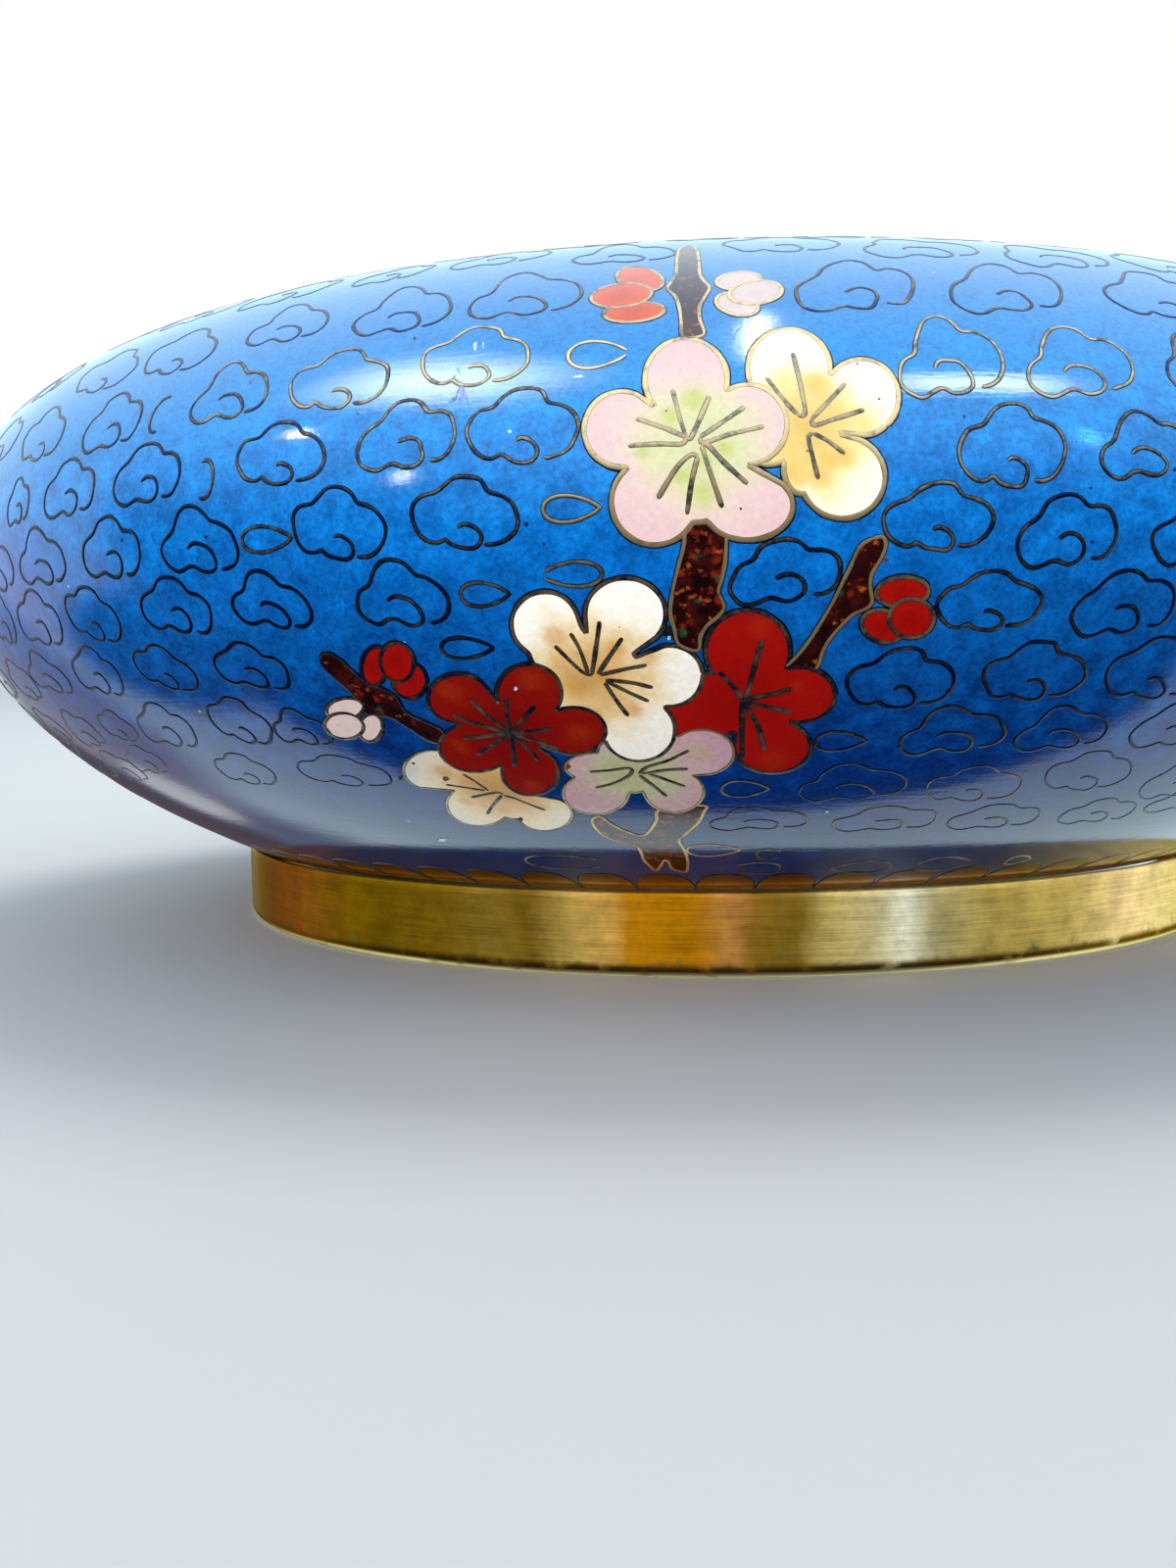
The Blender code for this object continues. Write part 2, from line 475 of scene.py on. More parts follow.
def makeWireBrass():
    material, node = newMaterial("drawnBrassWire", Metallic=0.8, Roughness=wireLook["roughness"])
    place = node("TexCoord", out="Object")
    edge, polish = (node("Attribute", out="Fac", attribute_name=key) for key in ("edge", "polish"))
    patch = node("TexNoise", {"Vector": place, "Scale": perMetre(wireLook["patchMm"]), "Detail": 5,
                              "Roughness": 0.75})
    wear = node("MapRange", {"Value": patch, "From Min": 0.3, "From Max": 0.7, "To Max": 0.8})
    # Wear and painted sheen together set how bright the crown is
    level = node("Math", {0: wear, 1: polish}, operation="ADD")
    crown = node("ValToRGB", {"Fac": level}, stops=wireLook["tones"])
    rimReach = node("Math", {0: patch, 1: 1.2, 2: edge}, operation="MULTIPLY_ADD")
    rim = node("MapRange", {"Value": rimReach, "From Min": 0.62, "From Max": 1.1})
    color = node("Mix", {"Factor": rim, 6: crown, 7: hexColor(wireLook["rim"])}, 2, data_type="RGBA")
    finish(material, color, patch, 0.4, 0.04)
    return material


# Foot and lip brass: turned on a lathe and rubbed round, so fine lines run round it. Handling has left tarnish,
# and broad areas of brown, olive, copper and pale gold round the ring are partly that tarnish and partly
# painted reflections and highlights; verdigris and dark dirt lie low down.

footLook = {
    # Tarnish and painted reflections round the foot: degrees from the front (right is positive) and their
    # colour
    "tarnishAndReflections": [(-180, "C8A650"), (-75, "6A3C08"), (-60, "7A4606"), (-52, "7C4A02"), (-47, "70480A"),
              (-42, "684600"), (-34, "8A6C0E"), (-27, "967616"), (-22, "A68A34"), (-18, "A07C1E"),
              (-14.5, "E6BE5E"), (-10.5, "E2AE56"), (-8.5, "C8840E"), (-2, "BE7C06"), (0.5, "CC8E46"),
              (2.2, "B47A34"), (3, "8A681A"), (7, "8C6E22"), (10, "D2B868"), (14, "F2DC96"), (20, "B4A46A"),
              (26, "B49C4C"), (34, "BEA458"), (42, "B8986A"), (52, "F2CE95"), (75, "DCBC6C"),
              (180, "C8A650")],
    # What lies low on the foot, the last a pale band that is a painted reflection on the bottom edge: where it
    # starts and where it is full, in mm up, colour and raggedness
    "dirtAndSheen": ((3.0, 1.6, "4A6440", 0.56), (1.7, 1.1, "5A3E10", 0.28), (0.75, 0.4, "F0DCA8", 0.25)),
    "edgeTint": "D0BC69", "wanderDegrees": 5, "lineMm": 0.12, "patchMm": 7.0, "stainMm": 3.0,
    "rustMm": 2.4, "roughness": 0.31, "uneven": 0.02,
}


def makeTurnedBrass(name, lowDirtAndSheen):
    material, node = newMaterial(name, Metallic=0.94, Anisotropic=0.95, Anisotropic_Rotation=0.25,
                                 Specular_Tint=hexColor(footLook["edgeTint"]))
    place = node("TexCoord", out="Object")
    axis = node("SeparateXYZ", {"Vector": place}).node.outputs
    front = node("Math", {0: axis["Y"], 1: -1}, operation="MULTIPLY")
    turn = node("Math", {0: axis["X"], 1: front}, operation="ARCTAN2")
    # Lathe lines: a pattern long round the ring and fine across it
    lines = []
    for sizeMm, length in ((footLook["lineMm"], 0.12), (footLook["lineMm"] * 4, 0.3)):
        along = node("Math", {0: turn, 1: 1 / length}, operation="MULTIPLY")
        across = node("Math", {0: axis["Z"], 1: perMetre(sizeMm)}, operation="MULTIPLY")
        grooves = node("CombineXYZ", {"X": along, "Y": across})
        lines.append(node("TexNoise", {"Vector": grooves, "Scale": 1.0, "Detail": 3},
                          noise_dimensions="2D"))
    brushed = node("Math", {0: lines[1], 1: 0.6, 2: lines[0]}, operation="MULTIPLY_ADD")
    patch = node("TexNoise", {"Vector": place, "Scale": perMetre(footLook["patchMm"]), "Detail": 5,
                              "Roughness": 0.62})
    # The tarnish and painted reflections, their borders blurred into each other
    wander = footLook["wanderDegrees"]
    wanderedTurn = node("Math", {0: patch, 1: math.radians(wander), 2: turn}, operation="MULTIPLY_ADD")
    share = node("MapRange", {"Value": wanderedTurn, "From Min": math.radians(wander / 2 - 180),
                              "From Max": math.radians(wander / 2 + 180)})
    color = node("ValToRGB", {"Fac": share},
                 stops=[((degrees + 180) / 360, tone) for degrees, tone in footLook["tarnishAndReflections"]])
    stain = node("TexNoise", {"Vector": place, "Scale": perMetre(footLook["stainMm"]), "Detail": 6,
                              "Roughness": 0.7})
    both = node("Math", {0: stain, 1: 1.6, 2: brushed}, operation="MULTIPLY_ADD")
    scratched = node("MapRange", {"Value": both, "From Min": 1.2, "From Max": 1.95,
                                  "To Min": 0.7, "To Max": 1.3})
    color = node("Mix", {"Factor": 1.0, 6: color, 7: scratched}, 2, data_type="RGBA",
                 blend_type="MULTIPLY")
    if lowDirtAndSheen:
        # Verdigris and brown creep up from the bottom edge, and the edge itself is painted pale, a painted
        # reflection
        rust = node("TexNoise", {"Vector": place, "Scale": perMetre(footLook["rustMm"]), "Detail": 6})
        for start, full, tone, ragged in footLook["dirtAndSheen"]:
            low = node("MapRange", {"Value": axis["Z"], "From Min": start * mm, "From Max": full * mm})
            eaten = node("MapRange", {"Value": rust, "From Min": ragged, "From Max": ragged + 0.2})
            grimeAndSheen = node("Math", {0: low, 1: eaten}, operation="MULTIPLY")
            color = node("Mix", {"Factor": grimeAndSheen, 6: color, 7: hexColor(tone)}, 2, data_type="RGBA")
    rough, uneven = footLook["roughness"], footLook["uneven"]
    rough = node("MapRange", {"Value": patch, "From Min": 0.35, "From Max": 0.7,
                              "To Min": rough + uneven, "To Max": rough - uneven})
    grain = node("Tangent", direction_type="RADIAL", axis="Z")
    finish(material, color, brushed, 0.2, 0.03, Roughness=rough, Tangent=grain)
    return material


# Counter-enamel: one plain coat on the inside and underside, left as it came from the kiln,
# so it is glossy with a faint orange-peel skin.

counter = {"cloudMm": 7, "skinMm": 2.2, "roughness": 0.16, "ior": 1.5,
           "tones": [(0.32, "1E78B4"), (0.52, "2A8CC4"), (0.72, "4AA3D2")]}


def makeCounterEnamel():
    material, node = newMaterial("counterEnamelFired", Roughness=counter["roughness"], IOR=counter["ior"])
    place = node("TexCoord", out="Object")
    cloud = node("TexNoise", {"Vector": place, "Scale": perMetre(counter["cloudMm"]), "Detail": 6,
                              "Roughness": 0.6})
    skin = node("TexNoise", {"Vector": place, "Scale": perMetre(counter["skinMm"]), "Detail": 2})
    finish(material, node("ValToRGB", {"Fac": cloud}, stops=counter["tones"]), skin, 0.3, 0.15)
    return material


# Flaws in the enamel: broken glass, open pinholes, pale nicks and iron stains; one pale mark is a painted
# glint in a dark gap. Their faces are rough where the polish is gone, so they catch the light unevenly.

def makeFlaw(name, dark, light, roughness):
    material, node = newMaterial(name, Roughness=roughness, IOR=1.5)
    facet = node("TexVoronoi", {"Vector": node("TexCoord", out="Object"),
                                "Scale": perMetre(0.35)}, "Color")
    pick = node("SeparateColor", {"Color": facet}).node.outputs
    color = node("ValToRGB", {"Fac": pick["Red"]}, stops=[(0.2, dark), (0.8, light)])
    finish(material, color, pick["Green"], 0.6, 0.08)
    return material


azureEnamel = makeAzure()
trunkEnamel = makeBranchEnamel("fleckedTrunkEnamel", 1.0)
twigEnamel = makeBranchEnamel("darkTwigEnamel", 0.4)
amberEnamel = makeAmberEnamel()
wireBrass = makeWireBrass()
footBrass = makeTurnedBrass("turnedFootBrass", True)
lipBrass = makeTurnedBrass("turnedLipBrass", False)
counterEnamel = makeCounterEnamel()
brokenGlass = makeFlaw("brokenBlueGlass", "083490", "2E78DC", 0.3)
openPinhole = makeFlaw("openPinhole", "020408", "0A1220", 0.6)
# Pale marks: nicks, and one painted glint
paleNickAndGlint = makeFlaw("paleGlassNickAndGlint", "7EB4EC", "E4F2FC", 0.4)
ironStain = makeFlaw("ironStain", "3A0E0A", "6A2010", 0.35)
print("materials made")


# Meshes

bySlot = {}


def makePiece(name, slot, materials, verts, faces, normals=None, **floats):
    # A smooth mesh with numbers at its points; with a slot it rides with the bowl
    mesh = bpy.data.meshes.new(name)
    mesh.from_pydata(np.asarray(verts).tolist(), [], faces)
    for key, values in floats.items():
        values = np.asarray(values, np.float32)
        mesh.attributes.new(key, "FLOAT", "POINT").data.foreach_set("value", values)
    mesh.shade_smooth()
    if normals is not None:
        mesh.normals_split_custom_set_from_vertices(normals.tolist())
    for material in materials:
        mesh.materials.append(material)
    piece = bpy.data.objects.new(name, mesh)
    bpy.context.scene.collection.objects.link(piece)
    if slot:
        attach(piece, "root")
        bySlot.setdefault(slot, []).append(piece)
    return piece


def turned(name, slot, materials, points, closed, segments):
    # A line of (radius, height) turned round Z; it runs so that faces look out, and where it isn't
    # closed it starts and ends on the axis
    rings = points if closed else points[1:-1]
    angles = [2 * math.pi * k / segments for k in range(segments)]
    pairs = [(k, (k + 1) % segments) for k in range(segments)]
    verts = [(r * math.sin(a), -r * math.cos(a), z) for r, z in rings for a in angles]
    faces = []
    for i in range(len(rings) if closed else len(rings) - 1):
        a, b = i * segments, (i + 1) % len(rings) * segments
        faces += [(a + k, a + n, b + n, b + k) for k, n in pairs]
    if not closed:
        start, last = len(verts), len(verts) - segments
        verts += [(0, 0, points[0][1]), (0, 0, points[-1][1])]
        faces += [(n, k, start) for k, n in pairs]
        faces += [(last + k, last + n, start + 1) for k, n in pairs]
    return makePiece(name, slot, materials, verts, faces)


# Enamel shell: the whole vessel, inside and out

shell = {"outerRings": 120, "innerRings": 60, "edgeRound": 0.35 * mm}


def makeShell():
    arcs = np.linspace(0, arcTop - shell["edgeRound"], shell["outerRings"])
    r, z, out, up = ringAt(arcs)
    outer = list(zip(r + out * lift["ground"], z + up * lift["ground"]))
    r, z, out, up = ringAt(np.linspace(arcTop, 0, shell["innerRings"]))
    inner = list(zip(r - out * bowl["wall"], z - up * bowl["wall"]))
    inner = [p for p in inner if p[1] > bowl["base"] + bowl["wall"]]
    points = [(0, bowl["base"])] + outer + [(bowl["mouth"], bowl["shoulder"] - shell["edgeRound"])]
    points += inner + [(0, bowl["base"] + bowl["wall"])]
    piece = turned("enamelShell", "enamel", [azureEnamel, counterEnamel], points, False, bowl["segments"])
    outside = len(outer) * bowl["segments"]
    for face in piece.data.polygons:
        radius = math.hypot(face.center.x, face.center.y)
        if face.index > outside or radius < bowl["foot"] - bowl["footWall"]:
            face.material_index = 1
    return piece


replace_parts(makeShell(), "bowl_body")
print("enamel shell made")


# Wires: flat brass ribbon set on edge and ground flush, so only its thin top shows

class Wires:
    # Gathers ribbons into one mesh; "edge" runs from 0 on the crown to 1 along the rims, and the wire's
    # brightness from 0 where it is black with tarnish and painted shade to 1 where it is bare and painted with
    # sheen
    def __init__(self, seed):
        self.verts, self.faces, self.edge, self.polish, self.count = [], [], [], [], 0
        self.dice = random.Random(seed)

    def add(self, plane, width, polish):
        closed = np.allclose(plane[0], plane[-1])
        rise = self.dice.uniform(-4, 4) * 0.001 * mm        # so that crossing wires never lie level
        base, up = planeToBowl(plane, rise), planeNormals(plane)
        along = np.gradient(base, axis=0)
        if closed:
            along[0] = along[-1] = base[1] - base[-2]
        side = np.cross(along, up)
        side /= np.linalg.norm(side, axis=1)[:, None] + 1e-12
        wave = np.arange(len(plane)) * 0.21
        uneven = 0.07 * np.sin(wave + self.dice.uniform(0, 6)) + 0.05 * np.sin(2.7 * wave)
        half = width * mm / 2 * (1 + uneven)
        if closed:
            half[-1] = half[0]
        else:
            half[[0, -1]] *= 0.55
        for reach, level, edge in ((-1, "wireFoot", 1), (-0.4, "wireCrown", 0), (0.4, "wireCrown", 0),
                                   (1, "wireFoot", 1)):
            self.verts.append(base + side * (half * reach)[:, None] + up * lift[level])
            self.edge.append(np.full(len(plane), float(edge)))
            self.polish.append(np.broadcast_to(polish, len(plane)))
        n = len(plane)
        for row in range(3):
            a = self.count + row * n + np.arange(n - 1)
            self.faces.append(np.stack((a, a + n, a + n + 1, a + 1), 1))
        self.count += 4 * n

    def piece(self, name):
        makePiece(name, "lip_brass", [wireBrass], np.concatenate(self.verts),
                  np.concatenate(self.faces).tolist(), edge=np.concatenate(self.edge),
                  polish=np.concatenate(self.polish))


# Sprays: the cells of the picture, each an outline on the plane, the later ones over the earlier

class Spray:
    def __init__(self, name, turnRound=False):
        self.name, self.turnRound, self.cells, self.lines = name, turnRound, [], []

    def place(self, plane):
        # The back spray is the front's drawing, turned round to the far side and reversed
        plane = np.asarray(plane, float)
        return plane * (-1, 1) + (planeX(180), 0) if self.turnRound else plane

    def cell(self, name, enamel, outline, heart=None, wire=0.5, polish=0.5, spots=None):
        outline = self.place(outline)
        x, y = outline.T
        if np.dot(x, np.roll(y, -1)) < np.dot(y, np.roll(x, -1)):
            outline = outline[::-1]              # the partition needs outlines that run anticlockwise
        heart = outline.mean(0) if heart is None else self.place(heart)
        spots = [(self.place(at), radius) for at, radius in spots or []]
        self.cells.append({"name": name, "enamel": enamel, "outline": outline, "heart": heart,
                           "spots": spots})
        if wire:
            self.line(np.concatenate((outline, outline[:1])), wire, polish, placed=True)

    def line(self, plane, width, polish, placed=False):
        # A wire over the last cell
        plane = plane if placed else self.place(plane)
        self.lines.append({"path": plane, "width": width, "polish": polish, "owner": len(self.cells) - 1})

    def covers(self, points, above=-1):
        # Which points lie under a cell that is over that one
        hidden = np.zeros(len(points), bool)
        for cell in self.cells[above + 1:]:
            hidden |= insideOutline(points, cell["outline"])
        return hidden

    def touches(self, path, margin=0.7):
        # Whether a path meets or nearly meets a cell
        shrink = np.array((1 / stretch(path[:, 1].mean()), 1))
        for cell in self.cells:
            gap = np.hypot(*((cell["outline"][None] - path[:, None]) * shrink).transpose(2, 0, 1))
            if gap.min() < margin or insideOutline(path, cell["outline"]).any():
                return True
        return False

    def makeWires(self, wires):
        for wire in self.lines:
            path = evenPath(wire["path"], 0.22)
            seen = ~self.covers((path[1:] + path[:-1]) / 2, wire["owner"])
            start = None
            for i, show in enumerate([*seen, False]):
                if show and start is None:
                    start = i
                if not show and start is not None:
                    if i - start > 1:
                        wires.add(path[start:i + 1], wire["width"], wire["polish"])
                    start = None

    def makeCells(self, grid=0.6):
        # One flat partition of all outlines; each triangle goes to the top cell that holds it
        coords, loops = [], []
        for cell in self.cells:
            loops.append(list(range(len(coords), len(coords) + len(cell["outline"]))))
            coords += [Vector(p) for p in cell["outline"]]
        everything = np.concatenate([cell["outline"] for cell in self.cells])
        low, high = everything.min(0), everything.max(0)
        spread = np.stack(np.meshgrid(np.arange(low[0], high[0], grid), np.arange(low[1], high[1], grid)), -1)
        spread = spread.reshape(-1, 2)
        coords += [Vector(p) for p in spread[self.covers(spread)]]
        verts, _, faces, _, _, owners = delaunay_2d_cdt(coords, [], loops, 1, 1e-4)
        plane = np.array([tuple(v) for v in verts])
        shares = [[] for _ in self.cells]
        for face, owner in zip(faces, owners):
            if owner:
                shares[max(owner)].append(face)
        for cell, share in zip(self.cells, shares):
            if share:
                self.makeCell(cell, plane, share)

    def makeCell(self, cell, plane, share):
        used = sorted({v for face in share for v in face})
        index = {v: i for i, v in enumerate(used)}
        points = plane[used]
        spot = np.zeros(len(points))
        for at, radius in cell["spots"]:
            spot = np.maximum(spot, np.exp(-(realDistance(points, at) / radius) ** 2))
        far = realDistance(cell["outline"], cell["heart"]).max()
        makePiece(self.name + cell["name"], "enamel", [cell["enamel"]], planeToBowl(points, lift["cell"]),
                  [[index[v] for v in face] for face in share], planeNormals(points),
                  tone=realDistance(points, cell["heart"]) / far, spot=spot)


# Plum blossoms: round petals about a heart, with fans of stamens. Places and sizes are photo pixels:
# a petal is an oval (x, y, half width, half height), and so is what fills the gaps between them;
# a spot of the third colour is (x, y, radius), and a wire is its width in mm and how bright it is,
# partly how bare and partly painted sheen.

blossoms = {
    "redRight": {
        "enamel": redEnamel, "centre": (758, 715), "core": 34, "wire": (0.62, 0.15),
        "petals": [(763, 664, 43, 41), (815, 709, 37, 28), (788, 762, 39, 27), (715, 722, 45, 35)],
        "stamens": [[(778, 653), (770, 680), (761, 714)], [(734, 686), (750, 703), (757, 714)],
                    [(808, 703), (785, 709), (757, 715)], [(807, 727), (785, 722), (757, 716)],
                    [(780, 765), (773, 740), (759, 716)], [(757, 775), (757, 745), (757, 716)]],
        "stamenWire": (0.76, 0.2),
        "spots": [(790, 776, 16), (775, 640, 12), (812, 700, 8)],
    },
    "mauve": {
        "enamel": mauveEnamel, "centre": (648, 790), "core": 19, "wire": (0.42, 0.6),
        "petals": [(716, 768, 33, 23), (688, 808, 30, 21), (608, 810, 33, 21), (607, 783, 30, 14),
                   (650, 768, 40, 24), (690, 772, 32, 20)],
        "stamens": [[(602, 788), (625, 786), (641, 784), (645, 787), (640, 793), (625, 800), (608, 804)],
                    [(703, 766), (680, 777), (660, 783), (652, 790)], [(702, 785), (680, 786), (655, 790)],
                    [(699, 803), (680, 796), (662, 790)], [(680, 813), (668, 803), (657, 795), (653, 791)]],
        "stamenWire": (0.6, 0.22),
        "spots": [(715, 766, 14)],
    },
    "cream": {
        "enamel": creamEnamel, "centre": (508, 808), "core": 14, "wire": (0.42, 0.35),
        "petals": [(442, 786, 30, 20), (489, 821, 33, 22), (556, 831, 28, 17), (500, 795, 42, 20),
                   (525, 822, 18, 14)],
        "stamens": [[(455, 801), (475, 804), (495, 807)], [(472, 790), (485, 798), (498, 807)],
                    [(481, 814), (495, 811), (508, 809), (513, 811)], [(497, 831), (503, 822), (512, 812)],
                    [(556, 827), (540, 821), (525, 815), (514, 812)]],
        "stamenWire": (0.56, 0.12),
        "spots": [(452, 788, 12), (514, 827, 8), (553, 824, 9), (475, 818, 9)],
    },
    "white": {
        "enamel": whiteEnamel, "centre": (607, 691), "core": 46, "wire": (0.6, 0.26),
        "petals": [(556, 637, 34, 33), (570, 660, 31, 30), (638, 627, 41, 37), (683, 690, 34, 31),
                   (652, 745, 37, 32), (600, 725, 35, 35)],
        "stamens": [[(566, 659), (582, 675), (596, 687), (605, 689)], [(582, 646), (592, 664), (600, 687)],
                    [(612, 634), (608, 662), (604, 688)], [(635, 651), (622, 670), (610, 688)],
                    [(660, 679), (638, 683), (612, 689)], [(666, 702), (645, 697), (618, 694)],
                    [(662, 716), (640, 706), (618, 695)], [(641, 731), (629, 715), (617, 697)]],
        "stamenWire": (0.6, 0.22),
        "spots": [(566, 649, 12), (662, 670, 11), (646, 725, 10), (628, 662, 9), (588, 700, 15),
                  (606, 730, 10), (614, 690, 9)],
    },
    "redLeft": {
        "enamel": ripeRedEnamel, "centre": (521, 749), "core": 33, "wire": (0.62, 0.13),
        "petals": [(468, 713, 31, 25), (484, 723, 24, 20), (540, 708, 33, 30), (585, 746, 33, 24),
                   (541, 788, 29, 24), (485, 763, 37, 25)],
        "stamens": [[(480, 715), (497, 730), (521, 748)], [(516, 712), (518, 735), (521, 748)],
                    [(546, 721), (535, 732), (522, 748)], [(562, 744), (545, 746), (521, 749)],
                    [(570, 765), (550, 757), (522, 749)], [(550, 777), (538, 763), (522, 750)],
                    [(525, 782), (524, 765), (521, 749)], [(487, 770), (500, 762), (520, 749)],
                    [(472, 753), (490, 752), (520, 748)], [(462, 729), (480, 737), (520, 748)]],
        "stamenWire": (0.72, 0.18),
        "spots": [(460, 705, 14), (540, 695, 14), (590, 748, 14), (545, 802, 12), (470, 762, 13)],
    },
    "yellowWhite": {
        "enamel": goldWhiteEnamel, "centre": (824, 436), "core": 34, "wire": (0.68, 0.75),
        "petals": [(805, 376, 42, 41), (879, 405, 38, 39), (860, 487, 43, 42), (818, 478, 18, 26),
                   (785, 440, 34, 34)],
        "stamens": [[(782, 385), (800, 408), (814, 423)], [(814, 423), (820, 424), (821, 414), (809, 360)],
                    [(863, 391), (843, 412), (828, 428)], [(828, 428), (831, 434), (850, 428), (882, 418)],
                    [(862, 463), (845, 450), (830, 442)], [(830, 442), (825, 446), (829, 465), (835, 489)]],
        "stamenWire": (0.6, 0.36),
        "spots": [(808, 486, 14), (836, 487, 12), (862, 466, 10), (832, 390, 13), (790, 500, 9),
                  (846, 470, 8)],
    },
    "pink": {
        "enamel": pinkEnamel, "centre": (712, 450), "core": 47, "wire": (0.7, 0.72),
        "petals": [(700, 387, 42, 42), (635, 438, 39, 39), (668, 512, 44, 44), (763, 516, 46, 35),
                   (763, 433, 40, 41), (712, 505, 30, 28)],
        "stamens": [[(686, 397), (693, 424), (700, 446)], [(700, 446), (706, 445), (724, 404)],
                    [(649, 427), (676, 436), (700, 446)], [(700, 446), (696, 453), (670, 453), (641, 455)],
                    [(760, 415), (735, 432), (714, 446)], [(714, 446), (718, 452), (745, 443), (780, 435)],
                    [(671, 509), (690, 478), (705, 464), (712, 466)], [(712, 466), (706, 490), (701, 525)],
                    [(737, 518), (724, 480), (716, 455)], [(716, 455), (721, 453), (740, 473), (763, 494)]],
        "stamenWire": (0.62, 0.42),
        "spots": [(686, 424, 10), (740, 458, 10), (716, 505, 14), (655, 460, 9), (697, 486, 9), (722, 470, 8),
                  (708, 408, 12)],
    },
}


def addBlossom(spray, name, points=240):
    # The outline is as far as any petal reaches, seen from the heart
    spec = blossoms[name]
    x, y = spec["centre"]
    turn = np.linspace(0, 2 * math.pi, points, endpoint=False)
    ray = np.stack((np.cos(turn), np.sin(turn)), 1)
    far = np.full(points, float(spec["core"]))
    for px, py, wide, high in spec["petals"]:
        toward, gap = ray / (wide, high), np.array((x - px, y - py)) / (wide, high)
        a, b, c = (toward ** 2).sum(1), toward @ gap, gap @ gap - 1
        room = b ** 2 - a * c
        far = np.maximum(far, np.where(room >= 0, (np.sqrt(np.maximum(room, 0)) - b) / a, 0))
    outline = (x, y) + ray * far[:, None]
    spots = [(toPlane((sx, sy))[0], radius * 0.09) for sx, sy, radius in spec["spots"]]    # 0.09 mm a pixel
    spray.cell(name, spec["enamel"], toPlane(outline), toPlane((x, y))[0], *spec["wire"], spots)
    for stamen in spec["stamens"]:
        spray.line(smoothPath(toPlane(stamen), 5), *spec["stamenWire"])


# Branches, as outlines in photo pixels

# A branch's wire brightness is partly how bare its wire is and partly painted sheen
branches = {
    "trunk": {
        "enamel": trunkEnamel, "polish": 0.9,
        "outline": [(712, 520), (700, 535), (698, 555), (693, 575), (688, 595), (685, 612), (684, 626),
                    (688, 642), (693, 658), (712, 664), (715, 649), (722, 638), (733, 629), (739, 620),
                    (736, 611), (733, 603), (737, 590), (740, 572), (741, 555), (740, 530)]},
    "twigRight": {
        "enamel": twigEnamel, "polish": 1.0,
        "outline": [(893, 549), (901, 548), (904, 555), (902, 564), (896, 575), (890, 585), (888, 598),
                    (890, 614), (884, 621), (871, 627), (859, 638), (847, 652), (840, 664), (833, 682),
                    (815, 694), (790, 692), (800, 682), (812, 671), (825, 655), (836, 638), (848, 618),
                    (856, 602), (863, 588), (869, 576), (875, 562), (882, 554)]},
    "twigTop": {
        "enamel": twigEnamel, "polish": 0.5,
        "outline": [(697, 343), (695, 328), (693, 313), (689, 302), (681, 294), (686, 286), (690, 277),
                    (691, 262), (694, 253), (702, 250), (710, 253), (713, 264), (714, 278), (718, 286),
                    (724, 293), (719, 303), (714, 312), (714, 325), (718, 341)]},
    "twigLeft": {
        "enamel": twigEnamel, "polish": 0.05,
        "outline": [(327, 671), (332, 667), (339, 668), (350, 676), (363, 688), (377, 698), (393, 704),
                    (405, 712), (412, 724), (422, 732), (437, 738), (452, 747), (452, 757), (440, 757),
                    (425, 748), (410, 738), (395, 731), (383, 730), (372, 727), (365, 716), (356, 704),
                    (344, 694), (332, 683)]},
    "root": {
        "enamel": trunkEnamel, "polish": 0.75,
        "outline": [(674, 826), (670, 837), (663, 848), (655, 853), (640, 849), (625, 842), (612, 833),
                    (604, 838), (612, 850), (625, 857), (638, 861), (649, 864), (654, 870), (657, 878),
                    (663, 884), (669, 889), (674, 884), (678, 878), (682, 880), (685, 886), (692, 889),
                    (700, 890), (702, 882), (700, 872), (697, 866), (693, 858), (700, 851), (712, 840),
                    (718, 829), (718, 822)]},
}

# Buds: petals that are ovals in photo pixels, as (x, y, half width, half height, turn in degrees)

# A bud's wire brightness is partly how bare its wire is and partly painted sheen
buds = {
    "coralTop": {"enamel": coralEnamel, "polish": 0.4,
                 "petals": [(653, 284, 24, 12, -10), (647, 318, 31, 10, 5), (634, 301, 31, 12, 6)]},
    "blushTop": {"enamel": blushEnamel, "polish": 0.6,
                 "petals": [(754, 286, 23, 9, 4), (752, 310, 22, 11, -12), (771, 298, 27, 12, 6)]},
    "redRight": {"enamel": redEnamel, "polish": 0.35,
                 "petals": [(921, 604, 27, 15, 4), (901, 639, 22, 16, -18), (930, 631, 23, 20, 0)]},
    "redLeft": {"enamel": redEnamel, "polish": 0.04,
                "petals": [(382, 680, 13, 20, -8), (418, 695, 17, 18, -20), (405, 676, 17, 20, 12)]},
    "blushLeft": {"enamel": blushEnamel, "polish": 0.2,
                  "petals": [(352, 724, 19, 11, 8), (378, 743, 12, 14, -14), (351, 741, 20, 13, -6)]},
}


def addBranch(spray, name):
    spec = branches[name]
    outline = smoothPath(toPlane(spec["outline"]), 5, closed=True)
    spray.cell(name, spec["enamel"], outline, wire=0.5, polish=spec["polish"])


def addBud(spray, name):
    spec = buds[name]
    t = np.linspace(0, 2 * math.pi, 60, endpoint=False)
    for i, (x, y, wide, high, tilt) in enumerate(spec["petals"]):
        oval = rotate(np.stack((wide * np.cos(t), high * np.sin(t)), 1), -tilt) + (x, y)
        spray.cell(name + "ABC"[i], spec["enamel"], toPlane(oval), wire=0.58, polish=spec["polish"])


def makeSpray(name, turnRound, motifs):
    spray = Spray(name, turnRound)
    for motif in motifs:
        kind, _, which = motif.partition(" ")
        {"branch": addBranch, "bud": addBud, "blossom": addBlossom}[kind](spray, which)
    spray.makeCells()
    return spray


